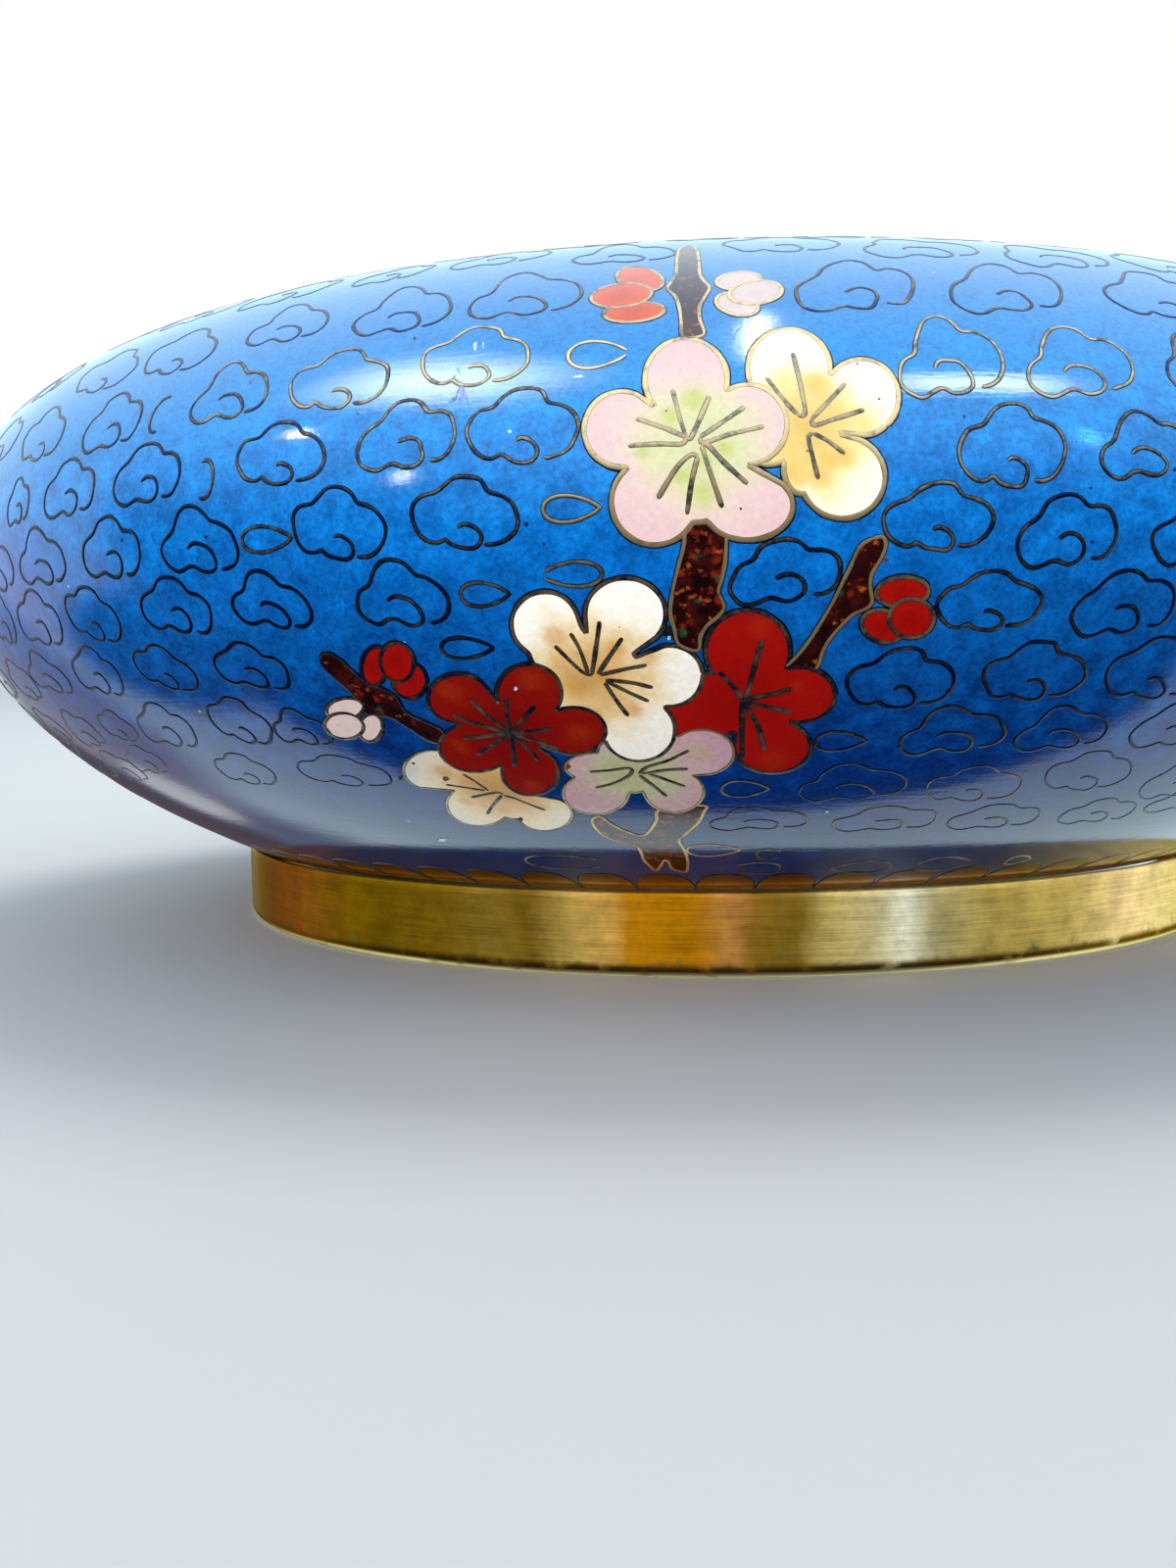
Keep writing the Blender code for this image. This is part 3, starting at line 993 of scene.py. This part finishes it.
frontSpray = makeSpray("front_", False, [
    "branch root", "branch trunk", "branch twigTop", "branch twigRight", "branch twigLeft",
    "bud coralTop", "bud blushTop", "bud redRight", "bud redLeft", "bud blushLeft",
    "blossom redRight", "blossom mauve", "blossom cream", "blossom white", "blossom redLeft",
    "blossom yellowWhite", "blossom pink"])
backSpray = makeSpray("back_", True, [
    "branch root", "branch trunk", "branch twigTop", "branch twigRight", "bud coralTop", "bud redRight",
    "blossom redRight", "blossom white", "blossom yellowWhite", "blossom pink"])
sprayWires = Wires(1)
frontSpray.makeWires(sprayWires)
backSpray.makeWires(sprayWires)
sprayWires.piece("sprayWires")
print("sprays made")


# Clouds: one bent wire each, in staggered rows. The lines are three clouds traced in the photo's pixels,
# each from the inner end of its curl. "seen" holds the clouds that the photo shows, as
# (x, y, width, height) in its pixels; "arc" is how far up the side a row lies right and left of the
# spray and "size" what an unseen cloud measures, in mm; the wire brightness is how bare the wire is,
# and in part the painted sheen of the light it mirrors.

cloudLines = [
    [(527, 449), (531, 446), (540, 447), (548, 453), (551, 462), (543, 471), (530, 471), (518, 468),
     (512, 462), (505, 467), (493, 466), (482, 455), (476, 440), (479, 427), (488, 419), (503, 415),
     (512, 405), (524, 397), (540, 396), (552, 400), (558, 410), (570, 413), (583, 420), (591, 433),
     (589, 447), (580, 460), (567, 466), (555, 466)],
    [(398, 453), (403, 447), (412, 446), (423, 448), (432, 455), (435, 465), (429, 473), (417, 475),
     (404, 470), (396, 473), (386, 479), (376, 478), (367, 471), (363, 460), (368, 447), (379, 439),
     (382, 430), (387, 419), (395, 410), (407, 407), (419, 411), (429, 420), (440, 420), (453, 426),
     (462, 437), (464, 450), (459, 461), (451, 467), (441, 469)],
    [(475, 369), (486, 365), (497, 367), (503, 374), (503, 382), (496, 389), (484, 390), (473, 387),
     (465, 389), (456, 393), (444, 393), (435, 387), (430, 377), (433, 365), (442, 357), (453, 351),
     (462, 340), (473, 334), (487, 332), (500, 336), (507, 343), (518, 342), (530, 345), (537, 353),
     (538, 365), (533, 377), (523, 384), (511, 384)],
]


def boxed(points):
    # Points scaled to a box of one by one about its middle
    low, high = points.min(0), points.max(0)
    return (points - (low + high) / 2) / (high - low)


cloudRows = [
    {"arc": (100.6, 100.6), "pitch": 9.7, "size": (9.6, 7.6), "polish": 0.0, "seen": []},
    {"arc": (89.5, 89.5), "pitch": 8.9, "size": (10.2, 9.3), "polish": 0.0,
     "seen": [(402, 281, 64, 22), (511, 265, 102, 20), (637, 259, 106, 20), (797, 249, 118, 16),
              (940, 253, 114, 22), (1078, 261, 105, 26)]},
    {"arc": (78.7, 78.7), "pitch": 8.3, "size": (9.8, 9.0), "polish": 0.12,
     "seen": [(60, 390, 36, 40), (109, 378, 62, 44), (184, 358, 73, 46), (293, 331, 83, 42),
              (410, 317, 100, 50), (536, 301, 115, 47), (872, 291, 120, 52), (1027, 294, 113, 51),
              (1183, 300, 112, 47)]},
    {"arc": (69.3, 68.5), "pitch": 7.4, "size": (9.3, 7.2), "polish": 0.48,
     "seen": [(44, 442, 44, 55), (114, 431, 61, 62), (233, 400, 79, 63), (346, 386, 100, 61),
              (485, 363, 108, 60), (971, 364, 106, 84), (1103, 369, 107, 72)]},
    {"arc": (62.5, 60.8), "pitch": 7.2, "size": (9.1, 6.2), "polish": 0.3, "droop": 0.05,
     "seen": [(18, 512, 22, 50), (70, 498, 51, 61), (149, 484, 68, 64), (286, 462, 90, 64),
              (414, 444, 100, 73), (533, 434, 115, 77), (1033, 454, 109, 86), (1171, 454, 94, 70)]},
    {"arc": (55.8, 54.2), "pitch": 6.9, "size": (9.2, 5.8), "polish": 0.22, "droop": 0.14,
     "seen": [(43, 567, 47, 58), (113, 558, 58, 63), (203, 550, 79, 68), (346, 534, 95, 75),
              (474, 523, 109, 74), (958, 527, 113, 70), (1089, 542, 102, 76), (1222, 548, 92, 66)]},
    {"arc": (49.4, 48.0), "pitch": 6.9, "size": (9.2, 5.5), "polish": 0.16, "droop": 0.24,
     "seen": [(5, 632, 22, 50), (40, 630, 46, 56), (94, 627, 57, 56), (179, 618, 72, 58), (277, 612, 82, 59),
              (411, 605, 94, 68), (801, 584, 114, 68), (1010, 613, 109, 61), (1146, 616, 106, 68)]},
    {"arc": (43.1, 41.4), "pitch": 6.9, "size": (9.4, 5.6), "polish": 0.12, "droop": 0.28,
     "seen": [(51, 686, 45, 43), (99, 685, 52, 50), (168, 682, 66, 47), (256, 680, 77, 48),
              (919, 692, 110, 61), (1056, 685, 105, 60), (1180, 682, 102, 63)]},
    {"arc": (36.3, 35.0), "pitch": 6.9, "size": (9.0, 5.8), "polish": 0.05, "droop": 0.22,
     "seen": [(120, 741, 42, 32), (170, 740, 61, 45), (244, 736, 66, 48), (309, 742, 60, 37),
              (972, 746, 108, 50), (1083, 744, 96, 46), (1198, 740, 90, 48)]},
    {"arc": (30.0, 28.3), "pitch": 6.9, "size": (9.4, 5.6), "polish": 0.2, "wire": 0.3, "droop": 0.15,
     "seen": [(150, 775, 42, 28), (250, 785, 62, 32), (351, 787, 96, 32), (870, 799, 110, 38),
              (994, 800, 98, 36), (1111, 787, 88, 40), (1205, 796, 84, 40)]},
    {"arc": (23.0, 21.5), "pitch": 7.5, "size": (9.3, 5.0), "polish": 0.2, "wire": 0.26, "bare": 62,
     "seen": [(774, 836, 100, 24), (903, 836, 106, 26), (1014, 834, 95, 26), (1120, 828, 80, 26)]},
]
cloudLook = {
    "wire": 0.42, "step": 0.25,                    # width and spacing of points, in mm
    "lean": 0.6, "droopBy": 44,                    # share of the natural lean; mm at which the droop is full
    "smallest": (4.5, 3.5), "largest": (13.5, 10.5),     # mm that a cloud drawn in its box may measure
    "brightTo": 14, "dullBy": 28, "sideTarnishAndShade": 0.42,   # degrees at which wires start to dull and are dull
    "turnDegrees": 5, "sizeSpread": 0.04, "bend": 0.008, "shift": 0.25, "rise": 0.3,   # random changes
}


def fitBox(shape, box, smallest=(7.0, 4.5)):
    # Place and size at which a shape on the bowl fills a box of the photo, found in a few rounds
    middle, extent = np.array(box[:2], float), np.array(box[2:])
    aim, size = middle.copy(), np.array((9.5, 7.0))
    for _ in range(8):
        seen = toPixels(planeToBowl(around(toPlane(aim)[0], shape * size), 0))
        low, high = seen.min(0), seen.max(0)
        size = np.clip(size * np.clip(extent / (high - low), 0.8, 1.25), smallest, (12.5, 9.5))
        aim += np.clip(middle - (low + high) / 2, -6, 6)
    return toPlane(aim)[0], size


def seenPath(shape, row, box):
    # The shape, leaning as the bowl turns there, drawn in its box of the photo; nothing where that is
    # too far round
    place, lean = toPlane(box[:2])[0], cloudLook["lean"]
    here, along, up = toPixels(planeToBowl(place + ((0, 0), (1, 0), (0, 1)), 0))
    x, y = (smoothPath(shape) * row["size"]).T
    droop = row.get("droop", 0) * min(max(-place[0] / cloudLook["droopBy"], 0), 1)
    y -= droop * x                       # those at the left hang to the right
    drawn = np.outer(x, (along - here) * (1, lean)) + np.outer(y, (up - here) * (lean, 1))
    drawn = boxed(drawn) * box[2:] + box[:2]
    plane = toPlane(drawn)
    size = np.ptp(plane, axis=0) / (stretch(plane[:, 1].mean()), 1)
    sound = (size > cloudLook["smallest"]).all() and (size < cloudLook["largest"]).all()
    return plane if sound and np.abs(toPixels(planeToBowl(plane, 0)) - drawn).max() <= 1 else None


def rowCentres(row, index, dice):
    # Centres of the clouds that the photo doesn't show, spaced evenly round the rest of the row
    seen = sorted(tuple(toPlane(box[:2])[0]) for box in row["seen"])
    whole, pitch = planeX(360), planeX(row["pitch"])
    if seen:
        start, gap = seen[-1][0], seen[0][0] + whole - seen[-1][0]
    else:
        start, gap = pitch * (index % 2) / 2, whole
    gap -= planeX(row.get("bare", 0))
    count = int(round(gap / pitch))
    for i in range(1, count + (0 if seen else 1)):
        share = i / count
        arc = row["arc"][0] * (1 - share) + row["arc"][1] * share
        arc += dice.uniform(-1, 1) * cloudLook["rise"]
        yield np.array((start + gap * share + dice.uniform(-1, 1) * cloudLook["shift"], arc))


def makeClouds():
    dice = random.Random(7)
    sets = [Wires(20 + i) for i in range(4)]
    for index, row in enumerate(cloudRows):
        places = [(None, box) for box in row["seen"]]
        places += [(centre, None) for centre in rowCentres(row, index, dice)]
        for centre, box in places:
            shape = boxed(np.array(dice.choice(cloudLines)) * (1, -1))
            shape += [[dice.gauss(0, cloudLook["bend"]) for _ in "xy"] for _ in shape]
            turn = dice.uniform(-1, 1) * cloudLook["turnDegrees"]
            path = seenPath(shape, row, box) if box else None
            if path is None:
                if box:
                    centre, size = fitBox(shape, box)
                else:
                    size = np.array(row["size"]) * (1 + dice.uniform(-1, 1) * cloudLook["sizeSpread"])
                    shape = rotate(shape, turn)
                path = around(centre, smoothPath(shape * size))
            path = evenPath(path, cloudLook["step"])
            for _ in range(2):                   # wire bends in round curves
                path[1:-1] = (path[:-2] + 2 * path[1:-1] + path[2:]) / 4
            if box is None and any(spray.touches(path[::4]) for spray in (frontSpray, backSpray)):
                continue
            degrees = math.degrees(path[:, 0].mean() * mm / bowl["widest"])
            # Away from the front the wires are darker, partly tarnish and partly less painted sheen
            away = np.interp(abs(degrees), (cloudLook["brightTo"], cloudLook["dullBy"]), (0, 1))
            polish = row["polish"] + dice.uniform(-0.1, 0.1) - cloudLook["sideTarnishAndShade"] * away
            sets[int((degrees + 45) % 360 // 90)].add(path, row.get("wire", cloudLook["wire"]), polish)
    for wires, side in zip(sets, ("Front", "Right", "Back", "Left")):
        wires.piece("cloudWires" + side)


makeClouds()
print("clouds made")


# Drops: small closed or open loops that fill the gaps. "at" is the angle in degrees and the distance up
# the side in mm, "size" is in mm, and "box" is a place and size in the photo's pixels instead;
# the tip points right, "open" leaves the tip apart.

# A drop's wire brightness is partly how bare its wire is and partly painted sheen
drops = [
    {"at": (-5.8, 70.0), "size": (5.1, 3.7), "open": 0.45, "polish": 0.8},
    {"at": (-6.8, 56.3), "size": (4.7, 2.6), "polish": 0.6},
    {"at": (-7.0, 51.0), "size": (5.2, 2.5), "open": 0.6, "turn": 180, "polish": 0.45},
    {"at": (-11.3, 49.5), "size": (4.3, 2.5), "polish": 0.3},
    {"at": (-12.7, 44.7), "size": (4.7, 2.4), "polish": 0.05},
    {"at": (-22.9, 54.9), "size": (5.4, 2.7), "polish": 0.2},
    {"at": (6.5, 34.1), "size": (4.4, 2.9), "polish": 0.1},
    {"at": (1.4, 27.6), "size": (4.2, 3.1), "polish": 0.2},
    {"at": (-31.2, 67.6), "size": (3.2, 4.8), "open": 1.6, "polish": 0.1},
    {"at": (-27.1, 60.5), "size": (2.9, 4.2), "open": 1.5, "turn": 180, "polish": 0.1},
    {"box": (728, 868, 54, 12), "polish": 0.75},
    {"box": (878, 885, 62, 12), "turn": 180, "polish": 0.25},
    {"box": (962, 882, 56, 14), "open": 0.5, "polish": 0.3},
    {"box": (1038, 878, 26, 9), "polish": 0.5},
    {"box": (575, 880, 78, 14), "open": 0.9, "polish": 0.3},
    {"box": (784, 872, 24, 11), "open": 0.9, "polish": 0.3},
    {"box": (774, 886, 44, 11), "open": 0.9, "turn": 180, "polish": 0.3},
    {"at": (174.0, 70.0), "size": (5.1, 3.7), "open": 0.4, "turn": 180, "polish": 0.7},
    {"at": (187.5, 56.0), "size": (4.7, 2.7), "polish": 0.4},
    {"at": (172.5, 34.0), "size": (4.6, 2.8), "turn": 180, "polish": 0.2},
]


def makeDrops():
    wires = Wires(11)
    for drop in drops:
        apart = drop.get("open", 0)
        t = np.linspace(apart, 2 * math.pi - apart, 60)
        shape = np.stack((np.cos(t) / 2, np.sin(t) * np.sin(t / 2) ** 0.7 / 2), 1)
        shape = rotate(shape, drop.get("turn", 0))
        if "box" in drop:
            centre, size = fitBox(shape, drop["box"], (2, 1.5))
        else:
            centre, size = (planeX(drop["at"][0]), drop["at"][1]), drop["size"]
        wires.add(evenPath(around(centre, shape * size), 0.25), cloudLook["wire"], drop["polish"])
    wires.piece("dropWires")


makeDrops()


# Flaws: small ragged marks, as (x, y, half width, half height, tilt in degrees) in the photo's pixels

flaws = {
    "chips": {"material": brokenGlass,
              "marks": [(471, 397, 2, 9), (466, 402, 1.6, 10, 18), (475, 404, 1.5, 9, -14),
                        (461, 408, 1.4, 5, 40), (470, 408, 3, 5), (477, 411, 1.3, 4, -20),
                        (468, 378, 1.3, 5, -15), (463, 384, 1.2, 3, 25)]},
    "pits": {"material": openPinhole,
             "marks": [(423, 345, 2.2, 1.8), (365, 422, 1.5, 1.5), (555, 555, 2, 1.6), (210, 548, 2, 2),
                       (680, 419, 1.2, 1.2), (756, 519, 1.5, 1.5), (897, 407, 1.5, 1.2), (875, 371, 1.2, 1),
                       (824, 460, 1.2, 1.2), (422, 779, 2, 1.5), (531, 836, 3.2, 3), (409, 794, 3, 3),
                       (632, 640, 1, 1), (1113, 498, 1.5, 1.5), (682, 646, 9, 8)]},
    # Pale nicks, and at (683, 651) a painted glint in the dark gap beside the trunk
    "nicksAndGlint": {"material": paleNickAndGlint,
              "marks": [(485, 353, 2, 5), (493, 352, 1.5, 4), (590, 384, 6, 1.8), (520, 440, 2.5, 1.8),
                        (526, 703, 2.5, 2), (683, 651, 2, 2.5), (436, 372, 1.8, 1.4), (449, 796, 2, 1),
                        (452, 857, 6, 1.5)]},
    "stains": {"material": ironStain,
               "marks": [(904, 571, 3.5, 3), (578, 783, 6, 4), (455, 795, 4, 3), (716, 344, 3, 4)]},
}


def makeFlaws(corners=11):
    dice = random.Random(5)
    turn = 2 * math.pi * np.arange(corners) / corners
    for layer, (name, spec) in enumerate(flaws.items()):
        points, faces = [], []
        for x, y, wide, high, *tilt in spec["marks"]:
            first = len(points)
            far = np.array([dice.uniform(0.55, 1.15) for _ in turn])
            ring = np.stack((np.cos(turn) * wide * far, np.sin(turn) * high * far), 1)
            points += [(x, y), *(rotate(ring, tilt[0] if tilt else 0) + (x, y))]
            faces += [(first, first + 1 + (k + 1) % corners, first + 1 + k) for k in range(corners)]
        plane = toPlane(points)
        makePiece(name, "enamel", [spec["material"]],
                  planeToBowl(plane, lift["flaw"] + layer * 0.002 * mm), faces, planeNormals(plane))


makeFlaws()


# Scallop borders: round-topped amber cells side by side, above the foot and round the mouth

border = {"count": 68, "firstDegrees": 2.9,
          # Wire brightness here is partly how bare the wire is and partly painted sheen
          "archWire": (0.3, 0.05), "ringWire": (0.4, -0.1),      # mm wide and how bare
          "fill": 0.485, "arch": 0.49,                   # half widths of glass and wire, as shares of the pitch
          "foot": (3.1, 8.7), "mouth": (2.6, 7.4)}       # where they start and end, in mm from the edge


def scallopTop(across):
    # Height of a scallop's round top, with across from -1 to 1
    return np.sqrt(np.maximum(1 - np.abs(across) ** 3, 0))


def makeBorder(name, fromArc, toArc, wires):
    # Scallops that stand on fromArc and reach to toArc
    pitch = planeX(360) / border["count"]
    across, rows = np.linspace(-1, 1, 17), np.linspace(0, 1, 5)
    top, step = scallopTop(across), len(across)
    arch = np.cos(np.linspace(math.pi, 0, 24))
    cells, faces = [], []
    for k in range(border["count"]):
        middle = planeX(border["firstDegrees"]) + (k + 0.5) * pitch
        first = len(cells) * step
        x = middle + across * pitch * border["fill"]
        cells += [np.stack((x, fromArc + (toArc - fromArc) * top * v), 1) for v in rows]
        for a in (first + j * step + i for j in range(len(rows) - 1) for i in range(step - 1)):
            quad = (a, a + 1, a + step + 1, a + step)
            faces.append(quad if toArc > fromArc else quad[::-1])
        x, y = middle + arch * pitch * border["arch"], fromArc + (toArc - fromArc) * scallopTop(arch)
        wires.add(np.stack((x, y), 1), *border["archWire"])
    ring = np.linspace(0, planeX(360), 721)
    wires.add(np.stack((ring, np.full(len(ring), fromArc)), 1), *border["ringWire"])
    plane = np.concatenate(cells)
    makePiece(name, "enamel", [amberEnamel], planeToBowl(plane, lift["cell"]), faces, planeNormals(plane),
              tone=np.tile(np.outer(rows, top).ravel(), border["count"]))


borderWires = Wires(12)
makeBorder("footScallops", *border["foot"], borderWires)
makeBorder("mouthScallops", *(arcTop / mm - np.array(border["mouth"])), borderWires)
borderWires.piece("borderWires")
print("borders made")


# Foot ring and lip: the same turned profiles as the solids, with finely rounded edges

def roundEdge(x, z, radius, start, end, steps=8):
    turn = np.radians(np.linspace(start, end, steps + 1))
    return list(zip(x + radius * np.cos(turn), z + radius * np.sin(turn)))


brassSegments = 256
foot = {"edge": 1.2 * mm, "inner": 0.7 * mm, "gap": 0.35 * mm}


def baseHeight(radius):
    return bowl["belt"] - bowl["lowerDrop"] * math.sqrt(1 - (radius / bowl["widest"]) ** 2)


def makeFoot():
    outer, inner = bowl["foot"], bowl["foot"] - bowl["footWall"]
    high, low = baseHeight(outer) - foot["gap"], baseHeight(inner) - foot["gap"]
    points = [(outer - 0.25 * mm, high - 0.04 * mm), (outer - 0.06 * mm, high - 0.12 * mm),
              (outer, high - 0.35 * mm)]
    points += [(outer, z) for z in np.linspace(high - 1 * mm, foot["edge"] + 0.4 * mm, 8)]
    points += roundEdge(outer - foot["edge"], foot["edge"], foot["edge"], 0, -90)
    points += roundEdge(inner + foot["inner"], foot["inner"], foot["inner"], -90, -180)
    points += [(inner, z) for z in np.linspace(foot["inner"] + 0.4 * mm, low, 5)]
    return turned("footRing", "foot_brass", [footBrass], points[::-1], True, brassSegments)


lip = {"gap": 0.3 * mm, "band": 1.5 * mm, "depth": 2.4 * mm, "lap": 1.3 * mm, "bead": 1.25 * mm,
       "round": 0.6 * mm}


def makeLip():
    outerBand = bowl["mouth"] - lip["gap"]
    inner, outer = outerBand - lip["band"], outerBand + lip["lap"]
    under = bowl["shoulder"] + lip["gap"]
    top = under + lip["bead"]
    points = [(outerBand, bowl["shoulder"] - lip["depth"]), (inner, bowl["shoulder"] - lip["depth"])]
    points += roundEdge(inner + lip["round"], top - lip["round"], lip["round"], 180, 90)
    points += roundEdge(outer - lip["round"], top - lip["round"], lip["round"], 90, 0)
    points += [(outer, under), (outerBand, under)]
    return turned("mouthLip", "lip_brass", [lipBrass], points[::-1], True, brassSegments)


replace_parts(makeFoot(), "foot_ring")
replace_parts(makeLip(), "mouth_rim")
print("brass made")


# Stage: a plain pale floor, a white studio and soft lights

def makeFloor(reach=4.0):
    material, _ = newMaterial("paleFloorMatt", Roughness=0.7, Base_Color=hexColor("DCDDDE"))
    corners = [(-reach, -reach, 0), (reach, -reach, 0), (reach, reach, 0), (-reach, reach, 0)]
    floor = makePiece("floor", None, [material], corners, [(0, 1, 2, 3)])
    floor.visible_glossy = floor.visible_diffuse = False     # the bowl mirrors the studio below instead


studio = {
    "white": (1.0, 1.0, 1.0, 1), "room": (0.04, 0.04, 0.045, 1), "ceiling": (1.6, 2.0, 2.35, 1),
    "behind": (1.1, 1.38, 1.42, 1), "even": (0.45, 0.45, 0.45, 1),
    # Darker and lighter corners of the studio: direction, cosine of the half width, softness and colour
    "corners": [((-0.045, -0.45, -0.892), 0.613, 0.02, (0.015, 0.018, 0.03, 1)),
                ((-0.374, 0.84, -0.391), 0.978, 0.014, (0.24, 0.27, 0.34, 1)),
                ((-0.878, 0.467, -0.105), 0.97, 0.02, (1.15, 1.05, 1.1, 1)),
                ((-0.858, 0.121, -0.5), 0.959, 0.02, (0.04, 0.045, 0.05, 1)),
                ((-0.664, 0.688, -0.292), 0.955, 0.02, (0.48, 0.45, 0.45, 1)),
                ((-0.333, 0.916, -0.225), 0.98, 0.01, (0.12, 0.09, 0.08, 1)),
                ((-0.479, 0.782, -0.399), 0.9975, 0.0013, (1.1, 1.1, 1.12, 1))],
}


def makeWorld():
    world = bpy.data.worlds.new("studio")
    bpy.context.scene.world = world
    world.use_nodes = True
    tree, node = world.node_tree, partial(addNode, world.node_tree)
    way = node("TexCoord", out="Generated")
    axis = node("SeparateXYZ", {"Vector": way}).node.outputs
    behind = node("MapRange", {"Value": axis["Y"], "From Min": -0.12, "From Max": 0.10},
                  interpolation_type="SMOOTHSTEP")
    color = node("Mix", {"Factor": behind, 6: studio["room"], 7: studio["behind"]}, 2,
                 data_type="RGBA")
    for toward, middle, soft, tone in studio["corners"]:
        cap = node("VectorMath", {0: way, 1: toward}, "Value", operation="DOT_PRODUCT")
        shaded = node("MapRange", {"Value": cap, "From Min": middle - soft, "From Max": middle + soft},
                      interpolation_type="SMOOTHSTEP")
        color = node("Mix", {"Factor": shaded, 6: color, 7: tone}, 2, data_type="RGBA")
    # The studio brightens upward, in front from lower down than behind
    start = node("MapRange", {"Value": behind, "To Min": -0.12, "To Max": 0.4})
    high = node("MapRange", {"Value": axis["Z"], "From Min": start, "From Max": 0.9},
                interpolation_type="SMOOTHSTEP")
    color = node("Mix", {"Factor": high, 6: color, 7: studio["ceiling"]}, 2, data_type="RGBA")
    # Gloss sees all that; matt light is even
    ray = node("LightPath").node.outputs
    color = node("Mix", {"Factor": ray["Is Diffuse Ray"], 6: color, 7: studio["even"]}, 2,
                 data_type="RGBA")
    soft = tree.nodes["Background"]
    tree.links.new(color, soft.inputs["Color"])
    plain = node("Background", {"Color": studio["white"], "Strength": 1.0})
    mixed = node("MixShader", {"Fac": ray["Is Camera Ray"], 1: soft.outputs[0], 2: plain})
    tree.links.new(mixed, tree.nodes["World Output"].inputs["Surface"])


# Area lights by the slot that they light alone: where they hang and their size in metres, and their
# power in watts. "soft" is the share of the size over which they fade toward their edges.

lights = {
    # Plain lights, which only brighten
    None: {
        "fill": {"from": (-0.2, -0.95, 0.35), "size": (0.9, 0.5), "power": 3.4},
        "bounce": {"from": (-0.1, -0.95, 0.05), "size": (1.0, 0.1), "power": 3.4},
        "top": {"from": (0.1, 0.35, 1.0), "size": (0.5, 0.4), "power": 4.2},
    },
    # Soft lights that the polished enamel mirrors
    "enamel": {
        "windowLeft": {"from": (-0.46, -0.29, 0.934), "size": (0.75, 0.55), "power": 21, "soft": 0.5},
        "windowRight": {"from": (0.448, -0.455, 0.873), "size": (0.52, 0.22), "power": 6.4, "soft": 0.4,
                        "roll": -20},
        "tubeTop": {"from": (0.060, -0.13, 1.04), "size": (0.045, 0.62), "power": 4.6, "soft": 0.45,
                    "roll": -25},
        "lampRight": {"from": (0.72, -0.65, 0.50), "size": (0.05, 0.2), "power": 1.1, "soft": 0.4,
                      "color": (0.12, 0.55, 1.0)},
        "lampLeft": {"from": (-0.77, -0.39, 0.67), "size": (0.04, 0.05), "power": 0.9, "soft": 0.45},
        "lampLow": {"from": (-0.66, -0.80, 0.33), "size": (0.03, 0.16), "power": 0.8, "soft": 0.4},
    },
    # Low cards beside the foot
    "foot_brass": {
        "cardLeft": {"from": (-0.42, -0.15, 0.10), "size": (0.75, 0.22), "power": 0.7, "soft": 0.25,
                     "color": (1.0, 0.86, 0.6)},
        "cardFront": {"from": (0.0, -0.45, 0.10), "size": (0.75, 0.22), "power": 1.1, "soft": 0.25},
        "cardRight": {"from": (0.42, -0.15, 0.10), "size": (0.75, 0.22), "power": 1.4, "soft": 0.25},
        "slit": {"from": (0.27, -0.361, 0.05), "size": (0.008, 0.12), "power": 0.45, "soft": 0.4,
                 "color": (0.28, 0.42, 1.0)},
    },
}


def softenEdges(data, width):
    data.use_nodes = True
    tree, node = data.node_tree, partial(addNode, data.node_tree)
    axes = node("SeparateXYZ", {"Vector": node("NewGeometry", out="Parametric")})
    shares = []
    for axis in "XY":
        inward = node("Math", {0: axes.node.outputs[axis], 1: 0.5}, operation="PINGPONG")
        shares.append(node("MapRange", {"Value": inward, "From Max": width},
                           interpolation_type="SMOOTHSTEP"))
    both = node("Math", {0: shares[0], 1: shares[1]}, operation="MULTIPLY")
    tree.links.new(both, tree.nodes["Emission"].inputs["Strength"])


def makeLight(name, slot, spec):
    data = bpy.data.lights.new(name, "AREA")
    data.shape = "RECTANGLE"
    data.size, data.size_y = spec["size"]
    data.energy = spec["power"]
    data.color = spec.get("color", (1, 1, 1))
    light = bpy.data.objects.new(name, data)
    toBowl = Vector((0, 0, bowl["belt"])) - Vector(spec["from"])
    turn = toBowl.to_track_quat("-Z", "Y").to_matrix()
    turn @= Matrix.Rotation(math.radians(spec.get("roll", 0)), 3, "Z")
    light.matrix_world = Matrix.Translation(spec["from"]) @ turn.to_4x4()
    # The plain lights only brighten, the soft ones only shine
    light.visible_glossy = slot is not None
    light.visible_diffuse = slot is None
    light.visible_camera = False
    bpy.context.scene.collection.objects.link(light)
    if slot:
        softenEdges(data, spec["soft"])
        receivers = bpy.data.collections.new(name + "Receivers")
        light.light_linking.receiver_collection = receivers
        for piece in bySlot[slot]:
            receivers.objects.link(piece)


makeFloor()
makeWorld()
for slot, group in lights.items():
    for name, spec in group.items():
        makeLight(name, slot, spec)
bpy.context.scene.view_settings.view_transform = "Standard"
print("stage set")
